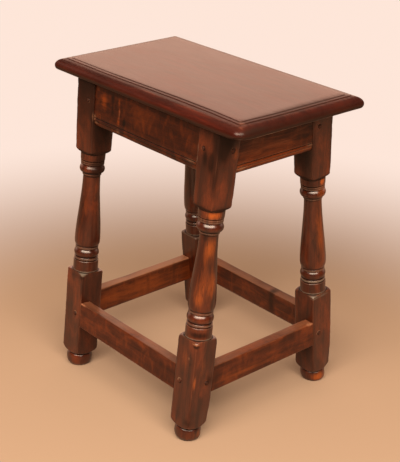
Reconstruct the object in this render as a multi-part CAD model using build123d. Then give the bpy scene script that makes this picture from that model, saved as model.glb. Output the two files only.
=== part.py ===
"""A joint stool: a moulded top on four splayed, turned legs, tied by moulded aprons and low stretchers.

Millimetres, +Z up, +X along the length of the top, -Y towards the front. The origin is on the floor,
under the middle of the top. The legs splay to the front and back only, so each long side of the stool
is a flat frame that leans inwards. That frame is drawn upright, in "side coordinates" (x along the
stool, -y outwards from the plane of the leg axes, z along the leg), and is then tilted into place.
"""
import os
from math import atan2, cos, degrees, radians, tan

from build123d import *

# ---------------------------------------------------------------- overall
stool_height = 560.0            # floor to the face of the top
leg_in_from_end = 78.0          # leg axis from the short edges of the top
leg_in_from_side = 36.3         # leg axis, where it meets the top, from the long edges
splay = 5.5                     # degrees, legs lean out to the front and back

# ---------------------------------------------------------------- top board
top_length = 466.0
top_width = 272.0
top_thickness = 22.0
top_moulding_width = 22.0       # from the flat field out to the nose
top_band_width = 7.4            # sunk flat band between the field and the nose
top_band_drop = 0.8             # step from the field down to the band
top_nose_quirk = 2.0            # step from the field down to where the nose starts
top_nose_height = 14.3          # field down to the widest line of the nose
top_under_inset = 3.2           # the underside stands back from the nose by this much

# ---------------------------------------------------------------- leg blocks
leg_half_width = 23.0           # half of the square, and every inner face of the leg
upper_outer_top = 24.6          # outer faces of the upper block from the axis, at the top
upper_outer_bottom = 21.5       # the same at the foot of the upper block
arris_radius = 1.8              # worn corners of the blocks
lower_block_bottom = 24.5       # heights along the leg axis, from the floor
lower_block_top = 186.3
upper_block_length = 132.5      # along the leg, down from the top board
lower_roll_height = 20.0        # rolled ends of the blocks
upper_roll_height = 15.0
shoulder_fall = 1.8             # the lower block's top slopes down to its corners

# ---------------------------------------------------------------- leg turnings, bottom to top
foot_base_radius = 17.0
foot_belly_radius = 22.8
foot_belly_height = 13.5
foot_neck_radius = 20.8
foot_groove = 2.0
lower_collar_radius = 22.3
lower_collar_height = 13.0
astragal_radius = 22.1
astragal_height = 6.0
fillet_step = 0.9
cove_radius = 19.7
cove_height = 8.5
lower_ring_radius = 22.3
lower_ring_height = 14.0
column_groove_height = 2.6
column_base_radius = 20.6
column_round_height = 13.0
column_wide_radius = 22.7
column_low_quarter_radius = 21.3
column_middle_radius = 18.7
column_high_quarter_radius = 16.3
neck_radius = 15.2
neck_cove_height = 4.0
neck_top_radius = 17.5
upper_ring_radius = 22.0
upper_ring_height = 19.0
upper_fillet_radius = 19.6
upper_fillet_height = 4.8
upper_collar_height = 15.2
upper_collar_radius = 21.8
upper_collar_taper = 0.6

# ---------------------------------------------------------------- aprons
apron_depth = 77.4              # from the top board to the lower edge
apron_thickness = 20.0
apron_recess = 1.5              # apron face behind the square of the leg
moulding_height = 14.4          # lower edge up to the quirk over the bead
ovolo_height = 7.9              # lower edge up to the bead
bead_proud = 0.3
quirk_depth = 1.3
quirk_height = 0.9
ovolo_setback = 4.2             # lower edge of the apron behind its face

# ---------------------------------------------------------------- stretchers
stretcher_bottom = 83.5
stretcher_top = 130.5
stretcher_thickness = 19.5
stretcher_recess = 0.8
stretcher_arris = 1.6

# ---------------------------------------------------------------- tenons, mortises and pegs
tenon_thickness = 9.0
tenon_setback = 6.5             # outer cheek of a tenon behind the face of its rail
tenon_length = 26.0
apron_tenon_lower_shoulder = 14.4
apron_tenon_upper_shoulder = 11.0
stretcher_tenon_lower_shoulder = 4.0
stretcher_tenon_upper_shoulder = 6.0
mortise_cheek_gap = 0.1
mortise_end_gap = 1.2
peg_diameter = 6.4
peg_gap = 0.05                  # radial room of a driven peg
peg_from_shoulder = 14.5
peg_past_tenon = 9.0            # length of the peg beyond the tenon
peg_proud = 0.7
peg_head_round = 0.6
peg_point_taper = 1.0

# ---------------------------------------------------------------- pocket screws of the top
screw_slant = 16.0              # degrees from the face of the apron
screw_shank_diameter = 4.2
screw_head_diameter = 8.0
screw_head_height = 2.6
screw_in_apron = 24.0           # under the head, up to the top edge of the apron
screw_under_face = 9.0          # wood left between the screw and the face of the top
screw_point_length = 3.0
screw_tip_radius = 0.4
screw_hole_gap = 0.2
screw_slot_width = 1.0
screw_slot_depth = 1.2
pocket_diameter = 12.0
pocket_length = 40.0
long_screw_from_leg = 54.0      # screws of the long aprons, from the face of the leg

# ---------------------------------------------------------------- cutting
overcut = 3.0                   # how far a cutting shape stands clear of what it cuts

# ---------------------------------------------------------------- worked out
underside = stool_height - top_thickness
tilt = radians(splay)
leg_length = underside / cos(tilt)
leg_axis_x = top_length / 2 - leg_in_from_end
leg_axis_y_floor = top_width / 2 - leg_in_from_side + underside * tan(tilt)
blank_top = leg_length + leg_half_width
corner_radius = leg_half_width * 2 ** 0.5 + overcut
column_bottom = (lower_block_top + lower_collar_height + astragal_height + cove_height + lower_ring_height
                 + column_groove_height)
upper_block_bottom = leg_length - upper_block_length
neck_height = (upper_block_bottom - upper_collar_height - upper_fillet_height - upper_ring_height
               - neck_cove_height)
shoulder_x = leg_axis_x - leg_half_width
peg_depth = apron_recess + tenon_setback + tenon_thickness + peg_past_tenon
screw_in_top = top_thickness - screw_under_face
far = stool_height + top_length

PARTS = "parts"


# ================================================================ helpers
def box_between(x0, x1, y0, y1, z0, z1):
    """Axis-aligned block given by its limits."""
    middle = Pos((x0 + x1) / 2, (y0 + y1) / 2, (z0 + z1) / 2)
    return middle * Box(x1 - x0, y1 - y0, z1 - z0)


def rod(radius, z0, z1):
    """Round bar along z given by its ends."""
    return Pos(0, 0, (z0 + z1) / 2) * Cylinder(radius, z1 - z0)


def leg_axis_y(height):
    """Distance of a leg axis from the middle of the width, at a height over the floor."""
    return leg_axis_y_floor - height * tan(tilt)


def to_front(shape):
    """Side coordinates to the leaning front side of the stool."""
    return Pos(0, -leg_axis_y_floor, 0) * Rot(-splay, 0, 0) * shape


def mirror_x(shape):
    return mirror(shape, about=Plane.YZ)


def mirror_y(shape):
    return mirror(shape, about=Plane.XZ)


def extrude_along_x(points_yz, x0, x1):
    """Prism with a straight-sided outline in y and z."""
    outline = Polyline(*[(x0, y, z) for y, z in points_yz], close=True)
    return extrude(make_face(outline), amount=x1 - x0, dir=(1, 0, 0))


def extrude_along_y(face, y0, y1):
    """Bar along y, its section drawn as x and z."""
    return Pos(0, y0, 0) * extrude(Plane.XZ * face, amount=y1 - y0, dir=(0, 1, 0))


def quarter(start, end, start_is_level):
    """Quarter of an ellipse, level at one end and upright at the other."""
    (x0, z0), (x1, z1) = start, end
    centre = (x0, z1) if start_is_level else (x1, z0)
    first = degrees(atan2(z0 - centre[1], x0 - centre[0])) % 360
    last = degrees(atan2(z1 - centre[1], x1 - centre[0])) % 360
    if (last - first) % 360 > 180:
        first = last
    return EllipticalCenterArc(centre, abs(x1 - x0), abs(z1 - z0), first, arc_size=90)


def bulge(start, end, middle_x):
    """Arc from start to end through a point at middle_x, halfway up."""
    return ThreePointArc(start, (middle_x, (start[1] + end[1]) / 2), end)


# ================================================================ top
def top_section(half_size):
    """Upright section across the top board, x and z: flat field, sunk band, broad nose."""
    field_x = half_size - top_moulding_width
    nose_x = field_x + top_band_width
    band_z = stool_height - top_band_drop
    nose_top = (nose_x, stool_height - top_nose_quirk)
    nose_edge = (half_size, stool_height - top_nose_height)
    under_edge = (half_size - top_under_inset, underside)
    half = make_face([
        Polyline((0, stool_height), (field_x, stool_height), (field_x, band_z), (nose_x, band_z), nose_top),
        quarter(nose_top, nose_edge, True),
        quarter(nose_edge, under_edge, False),
        Polyline(under_edge, (0, underside), (0, stool_height)),
    ])
    return half + mirror_x(half)


def make_top():
    """Board with the moulding mitred round all four edges, and pilot holes in its underside."""
    along = extrude_along_y(top_section(top_length / 2), -far, far)
    across = extrude_along_y(top_section(top_width / 2), -far, far)
    board = along & (Rot(0, 0, 90) * across)
    for place in screw_places():
        board -= place * screw_hole()
    return board


# ================================================================ legs
def foot_outline():
    """Turned foot under the lower block, up to the groove between them."""
    foot_top = lower_block_bottom - foot_groove
    base = (foot_base_radius, 0)
    belly = (foot_belly_radius, foot_belly_height)
    neck = (foot_neck_radius, foot_top)
    return [
        Polyline((0, -overcut), (foot_base_radius, -overcut), base),
        quarter(base, belly, True),
        quarter(belly, neck, False),
        Line(neck, (foot_neck_radius, lower_block_bottom)),
    ]


def lower_turning_outline():
    """Lower block's envelope, collar, astragal, cove and ring, up to the groove under the column."""
    collar_top = lower_block_top + lower_collar_height
    astragal_top = collar_top + astragal_height
    cove_top = astragal_top + cove_height
    ring_top = cove_top + lower_ring_height
    astragal_x = astragal_radius - fillet_step
    ring_x = lower_ring_radius - 2 * fillet_step
    roll_start = (foot_neck_radius, lower_block_bottom)
    roll_end = (corner_radius, lower_block_bottom + lower_roll_height)
    return [
        quarter(roll_start, roll_end, True),
        Polyline(roll_end, (corner_radius, lower_block_top - shoulder_fall),
                 (lower_collar_radius, lower_block_top), (lower_collar_radius, collar_top),
                 (astragal_x, collar_top)),
        bulge((astragal_x, collar_top), (astragal_x, astragal_top), astragal_radius),
        bulge((astragal_x, astragal_top), (ring_x, cove_top), cove_radius),
        bulge((ring_x, cove_top), (ring_x, ring_top), lower_ring_radius),
        Polyline((ring_x, ring_top), (column_base_radius, ring_top), (column_base_radius, column_bottom)),
    ]


def column_outline():
    """Column that swells downwards, with a rounded lower end and a cove at its neck."""
    wide = (column_wide_radius, column_bottom + column_round_height)
    neck = (neck_radius, neck_height)
    run = neck[1] - wide[1]
    swell = Spline(
        wide,
        (column_low_quarter_radius, wide[1] + run / 4),
        (column_middle_radius, wide[1] + run / 2),
        (column_high_quarter_radius, neck[1] - run / 4),
        neck,
        tangents=[(0, 1), (0, 1)],
    )
    return [
        quarter((column_base_radius, column_bottom), wide, True),
        swell,
        quarter(neck, (neck_top_radius, neck_height + neck_cove_height), False),
    ]


def upper_turning_outline():
    """Big ring, fillet and collar, and the envelope of the upper block to the top of the leg."""
    ring_bottom = neck_height + neck_cove_height
    ring_top = ring_bottom + upper_ring_height
    collar_foot = ring_top + upper_fillet_height
    roll_start = (upper_collar_radius, upper_block_bottom)
    roll_end = (corner_radius, upper_block_bottom + upper_roll_height)
    return [
        bulge((neck_top_radius, ring_bottom), (upper_fillet_radius, ring_top), upper_ring_radius),
        Polyline((upper_fillet_radius, ring_top), (upper_fillet_radius, collar_foot),
                 (upper_collar_radius - upper_collar_taper, collar_foot), roll_start),
        quarter(roll_start, roll_end, True),
        Polyline(roll_end, (corner_radius, blank_top), (0, blank_top), (0, -overcut)),
    ]


def turned_body():
    """All that the lathe leaves: round where the leg is turned, clear of the square where it isn't."""
    outline = foot_outline() + lower_turning_outline() + column_outline() + upper_turning_outline()
    return revolve(Plane.XZ * make_face(outline), axis=Axis.Z, revolution_arc=360)


def upper_outer(height):
    """Outer face of the upper block from the leg axis, at a height along the leg."""
    share = (height - upper_block_bottom) / (leg_length - upper_block_bottom)
    return upper_outer_bottom + (upper_outer_top - upper_outer_bottom) * share


def leg_blank():
    """Squared timber before turning: the upper block tapers on its two outer faces (+x and -y)."""
    lower = box_between(-leg_half_width, leg_half_width, -leg_half_width, leg_half_width,
                        -overcut, upper_block_bottom)
    lower = fillet(lower.edges().filter_by(Axis.Z), arris_radius)
    taper = [(-leg_half_width, upper_block_bottom), (upper_outer_bottom, upper_block_bottom),
             (upper_outer(blank_top), blank_top), (-leg_half_width, blank_top)]
    across_x = extrude_along_y(make_face(Polyline(*taper, close=True)), -corner_radius, corner_radius)
    across_y = extrude_along_x([(-out, z) for out, z in taper], -corner_radius, corner_radius)
    upper = across_x & across_y
    upright = [edge for edge in upper.edges() if edge.length > leg_half_width * 2 + overcut]
    return lower + fillet(upright, arris_radius)


def make_leg():
    """Front right leg: turned, leaned, cut level at top and floor, then mortised and bored."""
    leg = Pos(leg_axis_x, 0, 0) * (turned_body() & leg_blank())
    for bounds in (apron_bounds(leg_length), stretcher_bounds()):
        leg -= front_mortise(bounds)
        leg -= front_peg_place(bounds) * peg_bore()
    leg = to_front(leg) & box_between(-far, far, -far, far, 0, underside)
    for bounds in (apron_bounds(underside), stretcher_bounds()):
        leg -= side_mortise(bounds)
        leg -= side_peg_place(bounds) * peg_bore()
    return leg


# ================================================================ rails and their joints
def apron_bounds(top):
    """Recess of the outer face, and the bottom and top of the tenons, of an apron that ends at top.

    On a long side the heights run along the leaning leg, where the top board is at leg_length. On a
    short side they are upright, and the board is at the height of its underside.
    """
    low = top - apron_depth + apron_tenon_lower_shoulder
    return apron_recess, low, top - apron_tenon_upper_shoulder


def stretcher_bounds():
    """The same for a stretcher, measured from the floor."""
    low = stretcher_bottom + stretcher_tenon_lower_shoulder
    return stretcher_recess, low, stretcher_top - stretcher_tenon_upper_shoulder


def peg_height(bounds):
    """Pegs go through the middle of the tenon."""
    _, low, high = bounds
    return (low + high) / 2


def tenon_cheeks(recess):
    """Outer and inner cheek of a tenon, outwards from the leg axis."""
    outer = leg_half_width - recess - tenon_setback
    return outer, outer - tenon_thickness


def front_tenons(bounds):
    """One bar through the rail, tenons at both ends, in side coordinates."""
    recess, low, high = bounds
    outer, inner = tenon_cheeks(recess)
    reach = shoulder_x + tenon_length
    return box_between(-reach, reach, -outer, -inner, low, high)


def front_mortise(bounds):
    """Right-hand mortise of the front side, in side coordinates."""
    recess, low, high = bounds
    outer, inner = tenon_cheeks(recess)
    gap = mortise_cheek_gap
    return box_between(shoulder_x - overcut, shoulder_x + tenon_length + mortise_end_gap,
                       -outer - gap, -inner + gap, low - gap, high + gap)


def side_span(outwards, low, high):
    """Outline in y and z between planes parallel to the inner faces of the front and back legs."""
    def edge_y(height):
        return leg_axis_y(height) - leg_half_width / cos(tilt) + outwards
    return [(-edge_y(low), low), (edge_y(low), low), (edge_y(high), high), (-edge_y(high), high)]


def side_tenons(bounds):
    recess, low, high = bounds
    outer, inner = tenon_cheeks(recess)
    return extrude_along_x(side_span(tenon_length, low, high), leg_axis_x + inner, leg_axis_x + outer)


def side_mortise(bounds):
    """Mortises of the right side, in both the front and the back leg."""
    recess, low, high = bounds
    outer, inner = tenon_cheeks(recess)
    gap = mortise_cheek_gap
    return extrude_along_x(side_span(tenon_length + mortise_end_gap, low - gap, high + gap),
                           leg_axis_x + inner - gap, leg_axis_x + outer + gap)


def apron_section(top):
    """Section of an apron that ends at top, its face at x = 0, with the moulding on its lower edge."""
    low = top - apron_depth
    moulding_top = low + moulding_height
    quirk_top = (-quirk_depth, moulding_top - quirk_height)
    bead_foot = (-quirk_depth, low + ovolo_height)
    ovolo_top = (-quirk_depth, low + ovolo_height - quirk_height)
    ovolo_foot = (-ovolo_setback, low)
    return make_face([
        Polyline((-apron_thickness, blank_top), (0, blank_top), (0, moulding_top), quirk_top),
        bulge(quirk_top, bead_foot, bead_proud),
        Line(bead_foot, ovolo_top),
        quarter(ovolo_top, ovolo_foot, False),
        Polyline(ovolo_foot, (-apron_thickness, low), (-apron_thickness, blank_top)),
    ])


def stretcher_section():
    """Plain section of a stretcher, its face at x = 0, worn on its outer arrises."""
    low, high, worn = stretcher_bottom, stretcher_top, stretcher_arris
    return make_face([
        Line((-stretcher_thickness, low), (-worn, low)),
        quarter((-worn, low), (0, low + worn), True),
        Line((0, low + worn), (0, high - worn)),
        quarter((0, high - worn), (-worn, high), False),
        Polyline((-worn, high), (-stretcher_thickness, high), (-stretcher_thickness, low)),
    ])


def front_rail(section, bounds):
    """Rail of the front side with square shoulders; its section's +x turns to the front."""
    face_y = -(leg_half_width - bounds[0])
    bar = Pos(0, face_y, 0) * Rot(0, 0, -90) * extrude_along_y(section, -shoulder_x, shoulder_x)
    rail = to_front(bar + front_tenons(bounds))
    return rail & box_between(-far, far, -far, far, 0, underside)


def side_rail(section, bounds):
    """Rail of the right side: upright, with shoulders that lean with the legs."""
    face_x = leg_axis_x + leg_half_width - bounds[0]
    bar = Pos(face_x, 0, 0) * extrude_along_y(section, -far, far)
    bar &= extrude_along_x(side_span(0, 0, underside), 0, far)
    return bar + side_tenons(bounds)


def make_front_apron():
    bounds = apron_bounds(leg_length)
    apron = front_rail(apron_section(leg_length), bounds)
    apron = bored_for_front_pegs(apron, bounds)
    for place in long_screw_places():
        apron -= place * (screw_hole() + screw_pocket())
    return apron


def make_front_stretcher():
    bounds = stretcher_bounds()
    return bored_for_front_pegs(front_rail(stretcher_section(), bounds), bounds)


def bored_for_front_pegs(rail, bounds):
    bore = to_front(front_peg_place(bounds) * peg_bore())
    return rail - bore - mirror_x(bore)


def make_side_apron():
    bounds = apron_bounds(underside)
    apron = bored_for_side_pegs(side_rail(apron_section(underside), bounds), bounds)
    return apron - short_screw_place() * (screw_hole() + screw_pocket())


def make_side_stretcher():
    bounds = stretcher_bounds()
    return bored_for_side_pegs(side_rail(stretcher_section(), bounds), bounds)


def bored_for_side_pegs(rail, bounds):
    bore = side_peg_place(bounds) * peg_bore()
    return rail - bore - mirror_y(bore)


# ================================================================ pegs
def outer_face(height):
    """Outer face of the leg from its axis, at the height of a peg."""
    return upper_outer(height) if height > upper_block_bottom else leg_half_width


def front_peg_place(bounds):
    """Right-hand peg of the front side, in side coordinates: origin on the leg's face, +z inwards."""
    height = peg_height(bounds)
    return Pos(shoulder_x + peg_from_shoulder, -outer_face(height), height) * Rot(-90, 0, 0)


def side_peg_place(bounds):
    """Front peg of the right side: origin on the leg's face, +z inwards."""
    height = peg_height(bounds)
    along = height / cos(tilt)
    y = leg_axis_y(height) - (leg_half_width - peg_from_shoulder) / cos(tilt)
    return Pos(leg_axis_x + outer_face(along), -y, height) * Rot(0, -90, 0)


def peg_bore():
    return rod(peg_diameter / 2 + peg_gap, -leg_half_width, peg_depth + peg_gap)


def make_peg():
    """Driven oak peg, a little proud of the leg, with a softened head and a tapered point."""
    peg = rod(peg_diameter / 2, -peg_proud, peg_depth)
    rims = peg.edges().filter_by(GeomType.CIRCLE).sort_by(Axis.Z)
    peg = chamfer(rims[-1], peg_point_taper)
    head = peg.edges().filter_by(GeomType.CIRCLE).sort_by(Axis.Z)[0]
    return fillet(head, peg_head_round)


# ================================================================ screws
def long_screw_places():
    """Screws of the front apron: origin on the top edge of the apron, +z up into the top."""
    height = underside
    middle = leg_half_width - apron_recess - apron_thickness / 2
    y = -(leg_axis_y(height) + middle / cos(tilt))
    turn = Rot(screw_slant - splay, 0, 0)
    x = shoulder_x - long_screw_from_leg
    return [Pos(-x, y, height) * turn, Pos(x, y, height) * turn]


def short_screw_place():
    """Screw in the middle of the right apron."""
    x = leg_axis_x + leg_half_width - apron_recess - apron_thickness / 2
    return Pos(x, 0, underside) * Rot(0, screw_slant, 0)


def screw_places():
    """All six screws in the order front, back, right, left."""
    front = long_screw_places()
    half_turn = Rot(0, 0, 180)
    right = short_screw_place()
    return front + [half_turn * place for place in front] + [right, half_turn * right]


def screw_hole():
    radius = screw_shank_diameter / 2 + screw_hole_gap
    return rod(radius, -screw_in_apron - overcut, screw_in_top + screw_hole_gap)


def screw_pocket():
    return rod(pocket_diameter / 2, -screw_in_apron - pocket_length, -screw_in_apron)


def make_screw():
    """Slotted round-head wood screw, head at the bottom of its pocket."""
    shank_radius = screw_shank_diameter / 2
    head_radius = screw_head_diameter / 2
    shank_top = screw_in_top - screw_point_length
    head_top = -screw_in_apron - screw_head_height
    shank = rod(shank_radius, -screw_in_apron, shank_top)
    taper = Cone(shank_radius, screw_tip_radius, screw_point_length)
    point = Pos(0, 0, shank_top + screw_point_length / 2) * taper
    head = rod(head_radius, head_top, -screw_in_apron)
    rim = head.edges().filter_by(GeomType.CIRCLE).sort_by(Axis.Z)[0]
    head = fillet(rim, screw_head_height / 2)
    slot = box_between(-head_radius, head_radius, -screw_slot_width / 2, screw_slot_width / 2,
                       head_top - overcut, head_top + screw_slot_depth)
    return shank + point + head - slot


# ================================================================ assembly
def legs():
    front_right = make_leg()
    back_right = mirror_y(front_right)
    return {
        "leg_front_right": front_right,
        "leg_front_left": mirror_x(front_right),
        "leg_back_right": back_right,
        "leg_back_left": mirror_x(back_right),
    }


def rails():
    front_apron = make_front_apron()
    side_apron = make_side_apron()
    front_stretcher = make_front_stretcher()
    side_stretcher = make_side_stretcher()
    return {
        "apron_front": front_apron,
        "apron_back": mirror_y(front_apron),
        "apron_right": side_apron,
        "apron_left": mirror_x(side_apron),
        "stretcher_front": front_stretcher,
        "stretcher_back": mirror_y(front_stretcher),
        "stretcher_right": side_stretcher,
        "stretcher_left": mirror_x(side_stretcher),
    }


def pegs():
    """Two pegs at each end of the long and the short side of every corner, sixteen in all."""
    nodes = {}
    bounds = {
        "apron": (apron_bounds(leg_length), apron_bounds(underside)),
        "stretcher": (stretcher_bounds(), stretcher_bounds()),
    }
    for rail, (long_bounds, short_bounds) in bounds.items():
        long_side = to_front(front_peg_place(long_bounds) * make_peg())
        short_side = side_peg_place(short_bounds) * make_peg()
        nodes[f"peg_{rail}_front_right"] = long_side
        nodes[f"peg_{rail}_front_left"] = mirror_x(long_side)
        nodes[f"peg_{rail}_back_right"] = mirror_y(long_side)
        nodes[f"peg_{rail}_back_left"] = mirror_x(mirror_y(long_side))
        nodes[f"peg_{rail}_right_front"] = short_side
        nodes[f"peg_{rail}_right_back"] = mirror_y(short_side)
        nodes[f"peg_{rail}_left_front"] = mirror_x(short_side)
        nodes[f"peg_{rail}_left_back"] = mirror_x(mirror_y(short_side))
    return nodes


def screws():
    names = ("front_left", "front_right", "back_right", "back_left", "right", "left")
    return {f"top_screw_{name}": place * make_screw() for name, place in zip(names, screw_places())}


def main():
    os.makedirs(PARTS, exist_ok=True)
    nodes = {"seat_top": make_top(), **legs(), **rails(), **pegs(), **screws()}
    for name, shape in nodes.items():
        export_step(shape, os.path.join(PARTS, name + ".step"))


if __name__ == "__main__":
    main()
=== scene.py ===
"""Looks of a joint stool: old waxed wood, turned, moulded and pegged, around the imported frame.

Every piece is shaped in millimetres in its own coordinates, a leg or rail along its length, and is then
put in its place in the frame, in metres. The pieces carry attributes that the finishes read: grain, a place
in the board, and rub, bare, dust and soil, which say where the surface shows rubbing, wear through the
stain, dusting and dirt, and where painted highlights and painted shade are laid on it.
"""

import logging
import math
from dataclasses import dataclass
from enum import Enum
from typing import Callable, Iterable, Sequence

import bmesh
import bpy
import numpy as np
from mathutils import Matrix, Vector, noise


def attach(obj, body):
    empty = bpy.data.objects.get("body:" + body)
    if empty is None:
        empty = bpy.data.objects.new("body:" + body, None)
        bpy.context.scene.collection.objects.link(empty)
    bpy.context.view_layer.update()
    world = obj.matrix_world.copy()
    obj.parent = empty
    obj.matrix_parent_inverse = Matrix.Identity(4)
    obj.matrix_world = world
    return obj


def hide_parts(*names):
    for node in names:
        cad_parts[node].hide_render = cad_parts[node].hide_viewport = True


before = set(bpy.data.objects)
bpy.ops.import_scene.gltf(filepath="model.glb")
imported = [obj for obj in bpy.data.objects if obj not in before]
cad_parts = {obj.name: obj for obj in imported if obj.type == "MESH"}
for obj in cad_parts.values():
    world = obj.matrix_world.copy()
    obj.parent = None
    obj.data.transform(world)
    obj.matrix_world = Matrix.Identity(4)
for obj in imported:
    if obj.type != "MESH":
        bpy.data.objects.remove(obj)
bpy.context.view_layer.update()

LOG = logging.getLogger("joint_stool")
MM = 0.001
Point = tuple[float, float]
Triple = tuple[float, float, float]
Colour = Triple
Socket = bpy.types.NodeSocket
Material = bpy.types.Material
Edges = list[bmesh.types.BMEdge]
NOWHERE: Triple = (0.0, 0.0, 0.0)
BACKDROP: Colour = (0.99, 0.79, 0.69)
RIGHT_ROUND = 60.0
WANDER_GAIN = 1.6


# ---------------- shader maths
class Value:
    """A number or a socket of a shader, whose arithmetic adds Math nodes."""

    def __init__(self, graph: "Graph", source: "Socket | float") -> None:
        """Wraps an output socket or a number of a graph."""
        self.graph = graph
        self.source = source

    def _math(self, operation: str, first: object, second: object, clamp: bool = False) -> "Value":
        """Adds one Math node, clamped between 0 and 1 where asked."""
        settings = {"operation": operation, "use_clamp": clamp}
        return self.graph.value("ShaderNodeMath", 0, settings, {0: first, 1: second})

    def __add__(self, other: object) -> "Value":
        """Sum."""
        return self._math("ADD", self, other)

    __radd__ = __add__

    def __sub__(self, other: object) -> "Value":
        """Difference."""
        return self._math("SUBTRACT", self, other)

    def __rsub__(self, other: object) -> "Value":
        """Difference with this value taken away."""
        return self._math("SUBTRACT", other, self)

    def __mul__(self, other: object) -> "Value":
        """Product."""
        return self._math("MULTIPLY", self, other)

    __rmul__ = __mul__

    def clamped(self) -> "Value":
        """This value kept between 0 and 1."""
        return self._math("ADD", self, 0.0, clamp=True)


@dataclass(frozen=True)
class Pattern:
    """Noise in a material: features per metre, its stretch along and across the grain, and its octaves."""

    scale: float
    along: float = 1.0
    shift: Triple = NOWHERE
    detail: float = 3.0
    rough: float = 0.5
    distortion: float = 0.0
    across: float = 1.0


class Graph:
    """The nodes of one material or of the world."""

    def __init__(self, tree: bpy.types.NodeTree) -> None:
        """Empties a tree and takes it over."""
        self.tree = tree
        tree.nodes.clear()

    def node(self, kind: str, settings: dict | None = None, inputs: dict | None = None) -> bpy.types.Node:
        """Adds a node, sets it up and feeds it.

        Args:
            kind: the node's type.
            settings: its properties.
            inputs: numbers, colours, sockets or Values by socket name or number.

        Returns:
            The new node.
        """
        made = self.tree.nodes.new(kind)
        for name, setting in (settings or {}).items():
            setattr(made, name, setting)
        for name, source in (inputs or {}).items():
            source = source.source if isinstance(source, Value) else source
            if isinstance(source, Socket):
                self.tree.links.new(source, made.inputs[name])
            elif isinstance(source, tuple) and made.inputs[name].type == "RGBA":
                made.inputs[name].default_value = (*source, 1.0)
            else:
                made.inputs[name].default_value = source
        return made

    def value(self, kind: str, output: str | int, settings: dict | None = None,
              inputs: dict | None = None) -> Value:
        """One output of a new node as a value."""
        return Value(self, self.node(kind, settings, inputs).outputs[output])

    def amount(self, name: str) -> Value:
        """A piece's attribute as a number."""
        return self.value("ShaderNodeAttribute", "Fac", {"attribute_name": name})

    def scaled(self, vector: Socket, scale: Triple, shift: Triple = NOWHERE) -> Socket:
        """A vector stretched by a factor on each axis, and then shifted."""
        inputs = {0: vector, 1: scale, 2: shift}
        return self.node("ShaderNodeVectorMath", {"operation": "MULTIPLY_ADD"}, inputs).outputs[0]

    def noise(self, vector: Socket, pattern: Pattern) -> Value:
        """Noise over a vector.

        Args:
            vector: the place in the material.
            pattern: how large and how stretched the noise is.

        Returns:
            The noise, from 0 to 1.
        """
        if pattern.shift != NOWHERE or pattern.along != 1.0:
            vector = self.scaled(vector, (pattern.across, pattern.across, pattern.along), pattern.shift)
        return self.value("ShaderNodeTexNoise", "Fac", {}, {
            "Vector": vector, "Scale": pattern.scale, "Detail": pattern.detail, "Roughness": pattern.rough,
            "Distortion": pattern.distortion})

    def between(self, value: Value, low: float, high: float) -> Value:
        """Smooth step of a value from 0 at low to 1 at high."""
        inputs = {"Value": value, "From Min": low, "From Max": high}
        return self.value("ShaderNodeMapRange", "Result", {"interpolation_type": "SMOOTHSTEP"}, inputs)

    def mix(self, factor: Value, first: object, second: object) -> Socket:
        """Mixes two colours or colour sockets by the share of the second."""
        settings = {"data_type": "RGBA", "blend_type": "MIX", "clamp_factor": True}
        return self.node("ShaderNodeMix", settings, {0: factor, 6: first, 7: second}).outputs[2]

    def surface(self, **inputs: object) -> Socket:
        """Principled surface with its sockets set by name, underscores for blanks."""
        named = {name.replace("_", " "): source for name, source in inputs.items()}
        return self.node("ShaderNodeBsdfPrincipled", {}, named).outputs["BSDF"]


# ---------------- finishes
@dataclass(frozen=True)
class Finish:
    """What a piece is covered with."""

    name: str

    def surface(self, graph: Graph) -> Socket:
        """Shader of the finish, in a material's nodes."""
        raise NotImplementedError

    def material(self) -> Material:
        """Builds the material.

        Returns:
            The finished material.
        """
        made = bpy.data.materials.new(self.name)
        made.use_nodes = True
        graph = Graph(made.node_tree)
        graph.node("ShaderNodeOutputMaterial", {}, {"Surface": self.surface(graph)})
        return made


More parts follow.
